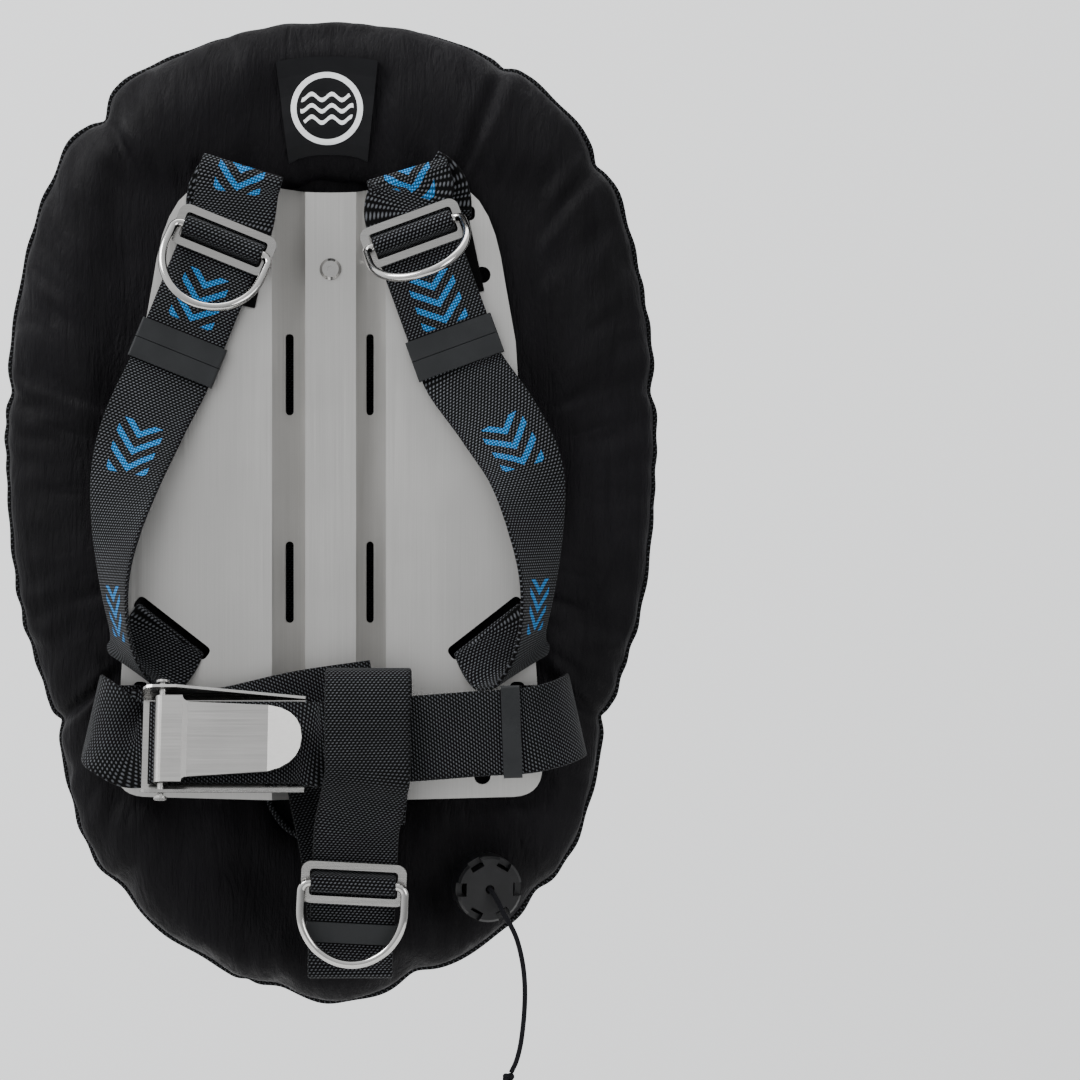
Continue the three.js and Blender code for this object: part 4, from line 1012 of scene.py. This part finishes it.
@dataclass
class WaistBelt:
    """The two waist straps and the cam buckle's place on them."""

    buckle_x: float = -106
    buckle_y: float = -90
    buckle_z: float = -144
    first_slot: float = 72
    last_slot: float = 85
    crotch_x: float = 26

    def __post_init__(self) -> None:
        """Works out the levels that the belt runs at."""
        s = SIZES
        self.buckle = seat(self.buckle_x, self.buckle_y, self.buckle_z, 0, s.buckle_tilt)
        self.free_lift = s.buckle_base / 2 + 3 * s.gap + 1.5 * s.web_thick
        self.base = -(s.buckle_base / 2 + s.gap + s.web_thick / 2)
        self.belt_lift = -self.buckle_y + math.cos(math.radians(s.buckle_tilt)) * self.free_lift

    def in_buckle(self, along: float, lift: float, raised: float = 0.0) -> np.ndarray:
        """A belt station in the buckle's own directions.

        Args:
            along: Distance from the buckle's origin towards its slots.
            lift: Distance from the middle of its base plate, towards the diver.
            raised: Shift up across the belt.
        Returns:
            Six numbers: centre and width direction.
        """
        at = shifted(self.buckle, along, raised, lift)
        return np.concatenate([at[:3, 3], at[:3, 1]])

    def slot_exit(self, side: int) -> list:
        """Stations from behind the plate out through a waist slot.

        Args:
            side: -1 for the slot at negative X, 1 for the other.
        Returns:
            List of stations.
        """
        slot = seat(side * SIZES.waist_slot_x, SIZES.plate_mid_y, SIZES.waist_slot_z, side * 90)
        return [np.array([*m[:3, 3], 0, 0, 1]) for m in through_slot(slot)]

    def left(self) -> list:
        """Stations of the strap that threads the buckle and doubles back behind it."""
        x, z, b = -SIZES.waist_slot_x, SIZES.waist_slot_z, self.in_buckle
        base, first, last = self.base, self.first_slot, self.last_slot
        hump = -base + SIZES.gap
        level = SIZES.plate_mid_y - SIZES.beside_plate - 0.6
        loop = [
            belt_station(x - 10.5, level, z),
            belt_station(x - 17, -32, z + 0.6, 1),
            belt_station(x - 22, -40, z + 3, 5),
            belt_station(x - 24.5, -52, z + 7, 11),
            belt_station(x - 24.5, -66, z + 8, 13),
            belt_station(x - 20, -78, -130, 10, 6),
            belt_station(x - 12, -86, -137, 4, 12),
            b(-7, base - 0.6),
        ]
        weave = [
            b(3, base), b(40, base), b(first - 3, base), b(first + 1.4, base * 0.8),
            b(first + 3.7, 0), b(first + 6.2, hump * 0.85), b(first + 10.2, hump),
            b(last + 1.2, hump * 0.85), b(last + 3.7, 0), b(last + 5.4, base * 0.9),
        ]
        back = base - 2 * SIZES.web_thick - 1.2
        tail = [
            b(last + 6.4, base - 2.6), b(last + 4, back, 1), b(last - 6, back - 0.4, 2),
            b(45, back, 6), b(10, back - 0.4, 10), b(-2, back - 0.7, 11),
            b(-6, back - 3.8, 11.6), b(-2, back - 7, 12.2), b(12, back - 7.6, 13),
            b(45, back - 9.4, 15),
            belt_station(self.buckle_x + 92, -60, self.buckle_z + 18, 3, 9),
            belt_station(self.crotch_x + 3, -53, self.buckle_z + 24, 6, 4),
        ]
        return [*self.slot_exit(-1), *loop, *weave, *tail]

    def right(self) -> list:
        """Stations of the free strap that lies in the buckle under its lever."""
        x, z, lift, b = SIZES.waist_slot_x, SIZES.waist_slot_z, self.belt_lift, self.in_buckle
        level = SIZES.plate_mid_y - SIZES.beside_plate - 0.6
        loop = [
            belt_station(x + 10.5, level, z),
            belt_station(x + 18, -32, z + 0.6, -1),
            belt_station(x + 26, -40, z + 3, -5),
            belt_station(x + 34, -52, -128, -12),
            belt_station(x + 34, -68, -128, -12),
            belt_station(x + 26, -84, -131, -8),
            belt_station(x + 14, -93, -134, -3),
            belt_station(x + 5, -lift, -135.5),
            belt_station(x - 20, -lift, -137),
            belt_station(x - 60, -lift, -140),
            belt_station(4, -lift, -143),
            belt_station(-3, -lift, -143.6, 0, 8),
        ]
        length = SIZES.buckle_length
        inside = [b(a, self.free_lift) for a in (length - 3, length - 20, 50, 4)]
        return [*self.slot_exit(1), *loop, *inside]

    def build(self, wardrobe: Wardrobe) -> None:
        """Makes both straps."""
        for side, stations in (("left", self.left()), ("right", self.right())):
            strap = strip(f"{side}_waist_strap", stations)
            wardrobe.dress(strap, "belt")
            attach(strap, "harness")
            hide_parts(f"{side}_waist_webbing")


@dataclass
class CrotchStrap:
    """The crotch strap: out of its slot, down, up through its slide and over the belt."""

    belt: WaistBelt
    back_y: float = -66
    slide_z: float = -226
    fold_z: float = -283
    top: float = -99
    fold_radius: float = 4.4

    def slide_place(self) -> np.ndarray:
        """Where the slide lies on the strap."""
        return seat(17, -77, self.slide_z, 3, -6)

    def stations(self) -> list:
        """The strap's stations from behind the plate to its loose end."""
        s, slide, x = SIZES, self.slide_place(), self.belt.crotch_x
        slot, r, h = s.crotch_slot_z, self.fold_radius, self.fold_radius * math.sqrt(0.5)
        drop = self.fold_z - self.slide_z
        front = -self.belt.belt_lift - s.web_thick - 4.4
        y = shifted(slide, 0, drop + 7, -s.under_bar)[1, 3] + r
        mid = self.fold_z + r + s.web_thick / 2
        behind = s.web_thick / 2 + s.gap + 0.1
        low = [
            (0, behind, slot + 18), (0, behind, slot + 6), (0, behind - 0.4, slot + 3.2),
            (0, -0.6, slot + 1), (0, -4, slot + 0.2), (0, -10, slot), (0, -19, slot),
            (0, -26, slot - 0.8), (1, -33, slot - 6), (4, -41, slot - 18), (9, -50, slot - 40),
            (13, -56, self.slide_z - 14), (14, y + r + 1, self.fold_z + 20),
            (14.5, y + r, mid), (14.5, y + h, mid - h), (14.5, y, mid - r), (14.5, y - h, mid - h),
        ]
        up = [
            shifted(slide, 0, drop + 8, -s.under_bar),
            shifted(slide, 0, -38, -s.under_bar),
            shifted(slide, 0, -24, -s.under_bar),
            *reversed(through_slide(slide)),
        ]
        high = [
            (19, -84, self.slide_z + 32), (23, -94.5, self.slide_z + 50),
            (x, front - 2.2, self.slide_z + 64), (x, front - 0.6, self.belt.buckle_z + 6),
            (x, front, self.top - 20), (x, front + 3, self.top - 10),
            (x, front + 9, self.top - 3), (x, (front + self.back_y) / 2, self.top - 1.2),
            (x, self.back_y - 9, self.top - 3), (x, self.back_y - 2, self.top - 10),
            (x, self.back_y, self.top - 20), (x - 1, self.back_y - 1, self.belt.buckle_z - 10),
            (x - 4, self.back_y - 3, self.belt.buckle_z - 46),
        ]
        places = [*(seat(*p) for p in low), *up, *(seat(*p) for p in high)]
        return [as_station(m) for m in places]

    def build(self, wardrobe: Wardrobe) -> None:
        """Makes the strap and its ring."""
        strap = strip("crotch_strap", self.stations())
        wardrobe.dress(strap, "belt")
        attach(strap, "harness")
        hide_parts("crotch_webbing")
        SlideAndRing("crotch", "crotch_ring", self.slide_place(), 4).build(wardrobe)


# ------------------------------------------------------------------------------ wing


@dataclass
class Wing:
    """The inflatable ring: a padded, seamed and puckered cover round the tank bay.

    It is held down round its fittings and kept behind the plate.
    """

    half_width: float = 195
    half_height: float = 294
    centre_z: float = -7
    bay_half_width: float = 55
    bay_top: float = 200
    bay_bottom: float = -208
    back_depth: float = 46
    front_depth: float = 21
    rim_depth: float = 30
    mid_y: float = 4.3
    around: int = 400
    section: int = 40
    puckers: int = 52
    cap: float = 5.0
    least: float = -0.4
    pressure: float = 4.0
    frames: int = 20
    relief_seed: int = 7
    bay_lap: float = 6.5
    # Dark tape sheets behind the tank band slots: painted shade, standing in for the shadow seen
    # through them.
    slot_shade_sheet_y: float = 2.5
    slot_shade_sheet_x: float = 24.2
    slot_shade_sheet_levels: tuple = (75.6, -49.4)
    slot_shade_sheet_steps: tuple = (-33, -10, 10, 33)
    slot_shade_sheet_width: float = 16
    piping_points: int = 720
    rim_piping_radius: float = 2.1
    fitting_press: float = 1.0
    fitting_fade: float = 14
    plate_clearance: float = 0.6
    plate_margin: float = 5
    plate_fade: float = 14
    plate_release: float = 30
    bladder_share: float = 0.7
    seam_fade: float = 0.1
    seam_start_fade: float = 0.1
    seam_at_rim: float = 0.35
    bay_piping_turn: float = -0.42
    bay_piping_radius: float = 1.8

    def outline(self) -> np.ndarray:
        """The outer edge, as (x, z) in millimetres, from shares of the half sizes."""
        shares = np.array([
            [0, 1], [0.32, 0.972], [0.63, 0.88], [0.85, 0.697], [0.954, 0.483], [1, 0.16],
            [0.959, -0.19], [0.851, -0.418], [0.769, -0.65], [0.615, -0.803], [0.308, -0.942],
            [0, -1],
        ])
        right = shares * (self.half_width, self.half_height) + (0, self.centre_z)
        left = right[1:-1][::-1] * (-1, 1)
        loop = np.vstack([right, left])
        wrapped = np.vstack([loop[-2:], loop, loop[:3]])
        return spline(wrapped, 24)[48 : 48 + 24 * len(loop)]

    def radii(self, angle: np.ndarray) -> tuple:
        """Inner and outer radius from the bay's centre at each angle.

        Args:
            angle: Array of directions in radians.
        Returns:
            Inner radii, outer radii and the height of the bay's centre.
        """
        middle = (self.bay_top + self.bay_bottom) / 2
        half = (self.bay_top - self.bay_bottom) / 2
        x, z = (self.outline() - (0, middle)).T
        around = np.arctan2(z, x) % (2 * np.pi)
        order = np.argsort(around)
        outer = np.interp(
            angle % (2 * np.pi), around[order], np.hypot(x, z)[order], period=2 * np.pi
        )
        a = np.abs(np.cos(angle)) / self.bay_half_width
        b = np.abs(np.sin(angle)) / half
        inner = (a**3 + b**3) ** (-1 / 3) - self.bay_lap
        for degrees, depth, width in self.notches():
            off = ((np.degrees(angle) - degrees + 180) % 360 - 180) / width
            outer = outer - depth * np.exp(-(off**2))
            outer = outer + 0.4 * depth * np.exp(-(((np.abs(off) - 2.6) / 1.4) ** 2))
        return inner, outer, middle

    def notches(self) -> list:
        """Places where the rim is drawn in between its swollen lobes: (degrees, depth, width)."""
        return [
            (120.4, 6.0, 2.0), (69.5, 1.6, 2.2), (52.0, 2.4, 1.9), (-141.5, 3.5, 1.7),
            (-118.0, 3.5, 2.4), (-96.0, 3.5, 2.0), (-80.0, 4.5, 2.2), (-62.0, 3.0, 2.4),
            (-38.0, 3.0, 2.0), (160.0, 2.0, 2.6), (20.0, 2.0, 2.6),
        ]

    def surface(self, angle: np.ndarray, turned: np.ndarray) -> np.ndarray:
        """Points of the cover.

        share = (1 - cos(turned)) / 2 runs from the bay's edge to the rim, and the cover stands
        off its middle plane by depth * |sin(turned)| ** 0.75, front and back.

        Args:
            angle: Direction from the bay's centre, an array.
            turned: Angle round the section, 0 at the bay and pi at the rim, back side first.
        Returns:
            Array of points in millimetres.
        """
        inner, outer, middle = self.radii(angle)
        share = (1 - np.cos(turned)) / 2
        puff = np.abs(np.sin(turned)) ** 0.75
        rim = np.clip((share - 0.55) / 0.3, 0, 1)
        rim = rim * rim * (3 - 2 * rim)
        front = self.front_depth + (self.rim_depth - self.front_depth) * rim
        depth = np.where(np.sin(turned) > 0, self.back_depth, -front)
        radius = inner + (outer - inner) * share
        return np.stack(
            [
                radius * np.cos(angle),
                self.mid_y + depth * puff,
                middle + radius * np.sin(angle),
            ],
            -1,
        )

    def grid(self) -> tuple:
        """The two angles of every vertex."""
        angle = 2 * np.pi * np.arange(self.around) / self.around
        turned = 2 * np.pi * np.arange(self.section) / self.section
        return np.meshgrid(angle, turned, indexing="ij")

    def relief(self, angle: np.ndarray, turned: np.ndarray) -> np.ndarray:
        """Wrinkles: gathers at the rim and bay, seam grooves and slow swells.

        Gathers and swells are sine waves, and a groove is a Gaussian dip between two low ridges.

        Args:
            angle: Direction from the bay's centre.
            turned: Angle round the section.
        Returns:
            Heights in millimetres.
        """
        share = (1 - np.cos(turned)) / 2
        draw = np.random.default_rng(self.relief_seed)
        phase = draw.uniform(0, 2 * np.pi, 8)
        drift = 1.6 * np.sin(5 * angle + phase[0]) + 1.1 * np.sin(11 * angle + phase[1])
        strength = 0.65 + 0.35 * np.sin(7 * angle + phase[2]) * np.sin(3 * angle + phase[3])
        gather = np.sin(self.puckers * angle + drift + 2.2 * np.sin(3 * turned))
        gather *= strength * np.exp(-(((share - 0.93) / 0.13) ** 2)) * 1.1
        inner = 1.1 * np.sin(46 * angle + drift + phase[4]) * np.exp(-((share / 0.2) ** 2))
        swell = 2.2 * np.sin(9 * angle + 5 * share + phase[5]) * np.sin(np.pi * share)
        swell += 1.0 * np.sin(17 * angle - 9 * share + phase[6]) * np.sin(np.pi * share)
        groove = np.zeros_like(angle)
        for degrees, start, width, depth in self.seams():
            off = (np.degrees(angle) - degrees + 180) % 360 - 180
            away = off * np.pi / 180 * 220
            begun = np.clip((share - start) / self.seam_start_fade, 0, 1)
            ridge = np.exp(-(((np.abs(away) - 2.4 * width) / width) ** 2))
            groove -= depth * np.exp(-((away / width) ** 2)) * begun
            groove += 0.35 * depth * ridge * begun
        at_rim = np.clip((1 - share) / self.seam_fade, self.seam_at_rim, 1)
        return gather + inner + swell + groove * at_rim

    def seams(self) -> list:
        """Creases that run in from the rim: (degrees, start share, half width, depth)."""
        return [
            (120.0, 0.40, 3.2, 5.5),
            (68.5, 0.40, 2.8, 4.5),
            (52.5, 0.62, 2.8, 3.5),
            (-141.5, 0.70, 3.4, 3.6),
            (-38.0, 0.70, 3.0, 3.5),
            (-100.0, 0.72, 2.6, 3.0),
        ]

    def inflate(self, cover: bpy.types.Object, rest: np.ndarray) -> np.ndarray:
        """Lets the cover settle under inner pressure with its rim and bay seams held.

        Args:
            cover: The cover's object.
            rest: Its vertices in metres.
        Returns:
            The settled vertices, no further than the cap from where they began.
        """
        _, turned = self.grid()
        held = np.abs(np.sin(turned.ravel())) < 0.2
        group = cover.vertex_groups.new(name="seams")
        group.add(np.flatnonzero(held).tolist(), 1.0, "REPLACE")
        cloth = cover.modifiers.new("cloth", "CLOTH")
        sets = cloth.settings
        sets.vertex_group_mass = group.name
        sets.use_pressure = True
        sets.uniform_pressure_force = self.pressure
        sets.quality = 5
        sets.tension_stiffness = sets.compression_stiffness = 30.0
        sets.bending_stiffness = 0.4
        sets.shrink_min = -0.03
        sets.effector_weights.gravity = 0.0
        cloth.point_cache.frame_start, cloth.point_cache.frame_end = 1, self.frames
        scene = bpy.context.scene
        for step in range(1, self.frames + 1):
            scene.frame_set(step)
        graph = bpy.context.evaluated_depsgraph_get()
        settled = np.zeros(len(rest) * 3, np.float32)
        cover.evaluated_get(graph).data.vertices.foreach_get("co", settled)
        scene.frame_set(1)
        cover.modifiers.remove(cloth)
        cover.vertex_groups.clear()
        moved = settled.reshape(-1, 3).astype(float) - rest
        normal = vertex_normals(cover)
        out = (moved * normal).sum(1, keepdims=True)
        moved += normal * (np.clip(out, self.least * MM, self.cap * MM) - out)
        size = np.linalg.norm(moved, axis=1, keepdims=True)
        return rest + moved * np.minimum(1.0, self.cap * MM / np.maximum(size, 1e-9))

    def build(self, wardrobe: Wardrobe) -> None:
        """Makes the cover and the piped rim."""
        angle, turned = self.grid()
        rest = self.surface(angle, turned).reshape(-1, 3) * MM
        faces = grid_faces(self.around, self.section, close_rows=True)[:, ::-1]
        cover = mesh_object("wing_cover", rest, faces.tolist())
        co = rest
        co = self.inflate(cover, rest)
        relief = self.relief(angle, turned).reshape(-1, 1) * MM
        loose = 1 - self.held_down(rest, turned)
        press = self.fitting_press * MM * (1 - loose)
        co = rest + (co - rest) * loose + (relief * loose - press) * vertex_normals(cover)
        co[:, 1] = np.maximum(co[:, 1], self.front_limit(co))
        cover.data.vertices.foreach_set("co", co.astype(np.float32).ravel())
        cover.data.update()
        smooth = cover.modifiers.new("smooth", "SUBSURF")
        smooth.levels = smooth.render_levels = 1
        wardrobe.dress(cover, "cloth")
        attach(cover, "harness")
        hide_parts("wing_shell")
        self.bladder(wardrobe)
        self.piping(wardrobe)
        # Dark sheets over the tank band slots, painted shade in place of the shadow there.
        self.slot_shade_sheets(wardrobe)

    def held_down(self, rest: np.ndarray, turned: np.ndarray) -> np.ndarray:
        """Share of each vertex held by a fitting: 1 beneath it, fading to 0 around it.

        Args:
            rest: The cover's vertices in metres.
            turned: Angle round the section at each vertex.
        Returns:
            Array (n, 1).
        """
        held = np.zeros(len(rest))
        for node, side in (("emblem_patch", -1), ("valve_cap", -1), ("elbow_gasket", 1)):
            low, high = (np.array(corner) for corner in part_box(node))
            outside = np.maximum(np.maximum(low - rest, rest - high), 0)[:, [0, 2]]
            fade = np.clip(np.hypot(*outside.T) / (self.fitting_fade * MM), 0, 1)
            on_side = np.sin(turned.ravel()) * side > 0
            held = np.maximum(held, on_side * (1 - fade * fade * (3 - 2 * fade)))
        return held[:, None]

    def front_limit(self, co: np.ndarray) -> np.ndarray:
        """How far forward the cover may come, in metres: the level behind the plate and the
        webbing on its back, let go over a fade outside the plate's outline.

        Args:
            co: The cover's vertices in metres.
        Returns:
            Array (n,) of the lowest Y allowed.
        """
        low, high = (np.array(corner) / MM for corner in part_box("backplate"))
        outside = np.maximum(np.maximum(low - co / MM, co / MM - high), 0)[:, [0, 2]]
        away = np.clip((np.hypot(*outside.T) - self.plate_margin) / self.plate_fade, 0, 1)
        webbing_back = SIZES.plate_mid_y + SIZES.beside_plate + SIZES.web_thick / 2
        return (webbing_back + self.plate_clearance - self.plate_release * away) * MM

    def bladder(self, wardrobe: Wardrobe) -> None:
        """Makes the slack air bladder inside the cover, a shrunken copy of its section."""
        angle, turned = (a[::2, ::2] for a in self.grid())
        points = self.surface(angle, turned)
        core = points.mean(axis=1, keepdims=True)
        points = core + (points - core) * self.bladder_share
        faces = grid_faces(len(angle), angle.shape[1], close_rows=True)[:, ::-1]
        film = mesh_object("wing_air_bladder", points.reshape(-1, 3) * MM, faces.tolist())
        wardrobe.dress(film, "film")
        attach(film, "harness")
        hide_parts("wing_bladder")

    def slot_shade_sheets(self, wardrobe: Wardrobe) -> None:
        """Dark tape sheets behind the panel that close over the tank band slots: painted shade,
        standing in for the shadow seen through the slots.
        """
        for side in (-1, 1):
            for z in self.slot_shade_sheet_levels:
                y = self.mid_y + self.slot_shade_sheet_y
                x = side * self.slot_shade_sheet_x
                ends = [belt_station(x, y, z + step) for step in self.slot_shade_sheet_steps]
                across = [np.array([*e[:3], 1, 0, 0]) for e in ends]
                level = "upper" if z > 0 else "lower"
                name = f"slot_shade_sheet_{level}_{'left' if side < 0 else 'right'}"
                # A dark sheet over the slot, painted shade standing in for the shadow there.
                shade_sheet = strip(name, across, 4, width=self.slot_shade_sheet_width)
                wardrobe.dress(shade_sheet, "tape")
                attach(shade_sheet, "harness")

    def piping(self, wardrobe: Wardrobe) -> None:
        """The bound edges along the rim and the bay's foot, which pucker with the gathers."""
        count = self.piping_points
        angle = 2 * np.pi * np.arange(count) / count
        rim = np.full(count, np.pi)
        outward = np.stack([np.cos(angle), np.zeros(count), np.sin(angle)], -1)
        path = self.surface(angle, rim) + self.relief(angle, rim)[:, None] * outward
        wobble = 0.7 * np.sin(self.puckers * angle + 1.6 * np.sin(5 * angle))
        path[:, 1] += wobble
        edge = rod("wing_rim_piping", path, self.rim_piping_radius, 10, closed=True)
        wardrobe.dress(edge, "tape")
        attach(edge, "harness")
        low = np.radians(np.linspace(200, 340, count // 3))
        bay_edge = self.surface(low, np.full(len(low), self.bay_piping_turn))
        bay_edge[:, 1] += 0.35 * np.sin(self.puckers * low) - self.bay_piping_radius
        bay = rod("wing_bay_piping", bay_edge, self.bay_piping_radius, 10)
        wardrobe.dress(bay, "belt")
        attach(bay, "harness")


# ------------------------------------------------------------------------------ pull cord


@dataclass
class PullCord:
    """The dump valve's pull cord and the overhand knot at its end."""

    diameter: float = 3.0
    route: tuple = (
        (93.02, -25.1, -230.9), (97.14, -41.6, -232.7), (101.2, -45.8, -238.6),
        (104.6, -48, -245.4), (108.8, -49.4, -252.4), (112.4, -50, -260), (115, -50.4, -269),
        (116.8, -50.6, -279), (117.6, -50.6, -290), (117.4, -50.4, -302), (116.4, -50.2, -314),
        (114.8, -50, -325), (112.4, -50, -334), (109.4, -50, -340.4),
    )

    def knot_path(self, end: np.ndarray, way: np.ndarray) -> np.ndarray:
        """A trefoil about the cord's end, with a short tail out of it.

        Args:
            end: The cord's last point in millimetres.
            way: The cord's direction there.
        Returns:
            Array of points.
        """
        t = np.linspace(0.35, 2 * np.pi - 0.1, 60)
        loop = np.column_stack([
            np.sin(t) + 2 * np.sin(2 * t), -1.2 * np.sin(3 * t), np.cos(t) - 2 * np.cos(2 * t),
        ])
        centre = end + way * 3.6
        loop = centre + loop * 0.85
        tail = centre + np.array([[-2.6, 0, -3.6], [-4.2, 0, -6.2]])
        return spline(np.vstack([loop[::6], tail]), 8)

    def build(self, wardrobe: Wardrobe) -> None:
        """Makes the cord and its knot."""
        path = spline(self.route, 10)
        cord = rod("pull_cord_line", path, self.diameter / 2, 14)
        way = unit(path[-1] - path[-2])
        knot = rod("pull_cord_knot", self.knot_path(path[-1], way), self.diameter / 2 - 0.2, 12)
        for obj, node in ((cord, "pull_cord"), (knot, "pull_knot")):
            wardrobe.dress(obj, "cord")
            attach(obj, "dump")
            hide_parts(node)


# ------------------------------------------------------------------------------ studio


@dataclass
class Studio:
    """Pale world, floor, soft lights and the camera.

    The world is brighter above and to the left than below and to the right.
    """

    aim: tuple = (0.1266, -0.0235, -0.024)
    field_width: float = 0.648
    lens: float = 150
    world_base: float = 1.3
    world_slope: tuple = (-0.55, 0.25, 0.75)
    world_least: float = 0.4

    def light(self, name: str, spot: tuple, size: float, power: float) -> None:
        """A square area light aimed at the object's middle.

        Args:
            name: The light's name.
            spot: Its place in metres.
            size: Its side in metres.
            power: Its power in watts.
        """
        data = bpy.data.lights.new(name, "AREA")
        data.shape, data.size = "SQUARE", size
        data.energy = power
        lamp = bpy.data.objects.new(name, data)
        lamp.location = spot
        way = np.array(self.aim) * (0, 1, 1) - np.array(spot)
        lamp.rotation_euler = Vector(way).to_track_quat("-Z", "Y").to_euler()
        bpy.context.scene.collection.objects.link(lamp)

    def surroundings(self) -> None:
        """Makes a pale world: its brightness is base + slope . direction, held above a floor."""
        world = bpy.data.worlds.new("pale")
        world.use_nodes = True
        nodes, links = world.node_tree.nodes, world.node_tree.links
        back = nodes["Background"]
        back.inputs["Color"].default_value = (0.95, 0.96, 0.97, 1)
        facing = nodes.new("ShaderNodeVectorMath")
        facing.operation = "DOT_PRODUCT"
        facing.inputs[1].default_value = self.world_slope
        links.new(nodes.new("ShaderNodeTexCoord").outputs["Generated"], facing.inputs[0])
        lifted = nodes.new("ShaderNodeMath")
        lifted.operation = "ADD"
        links.new(facing.outputs["Value"], lifted.inputs[0])
        lifted.inputs[1].default_value = self.world_base
        held = nodes.new("ShaderNodeMath")
        held.operation = "MAXIMUM"
        links.new(lifted.outputs[0], held.inputs[0])
        held.inputs[1].default_value = self.world_least
        links.new(held.outputs[0], back.inputs["Strength"])
        bpy.context.scene.world = world

    def build(self) -> None:
        """Makes the whole studio."""
        self.surroundings()
        self.light("key", (-1.9, -1.2, 2.1), 1.4, 150)
        self.light("fill", (1.6, -1.5, 0.3), 1.0, 25)
        self.light("top", (0.1, 0.3, 1.9), 1.2, 24)
        self.light("low", (0.2, -1.2, -1.3), 1.0, 7)
        bpy.ops.mesh.primitive_cylinder_add(
            vertices=96, radius=0.7, depth=0.01, location=(0, 0, -0.47)
        )
        floor = bpy.context.object
        floor.name = "floor"
        t = Tree("pale_floor")
        floor.data.materials.append(t.finish(Base_Color=(0.8, 0.8, 0.79, 1), Roughness=0.7))
        data = bpy.data.cameras.new("camera")
        data.lens, data.sensor_width = self.lens, 36
        camera = bpy.data.objects.new("camera", data)
        away = self.field_width * self.lens / data.sensor_width
        camera.location = (self.aim[0], self.aim[1] - away, self.aim[2])
        camera.rotation_euler = (math.pi / 2, 0, 0)
        data.clip_end = 50
        bpy.context.scene.collection.objects.link(camera)
        bpy.context.scene.camera = camera


# ------------------------------------------------------------------------------ everything


def main() -> None:
    """Builds the vest in order: studio, finishes, carried pieces, wing, harness and cord."""
    logging.basicConfig(level=logging.INFO)
    Studio().build()
    wardrobe = Wardrobe()
    LOG.info("finishes built")
    CarriedPieces().build(wardrobe)
    Wing().build(wardrobe)
    LOG.info("wing built")
    ShoulderStrap(-1, "left", 62.4, 155, 22, 51, 199, 0, 22).build(wardrobe)
    ShoulderStrap(1, "right", 51, 159, 20, 47, 197, 6, 50).build(wardrobe)
    belt = WaistBelt()
    belt.build(wardrobe)
    CrotchStrap(belt).build(wardrobe)
    LOG.info("harness built")
    PullCord().build(wardrobe)


if __name__ == "__main__":
    main()
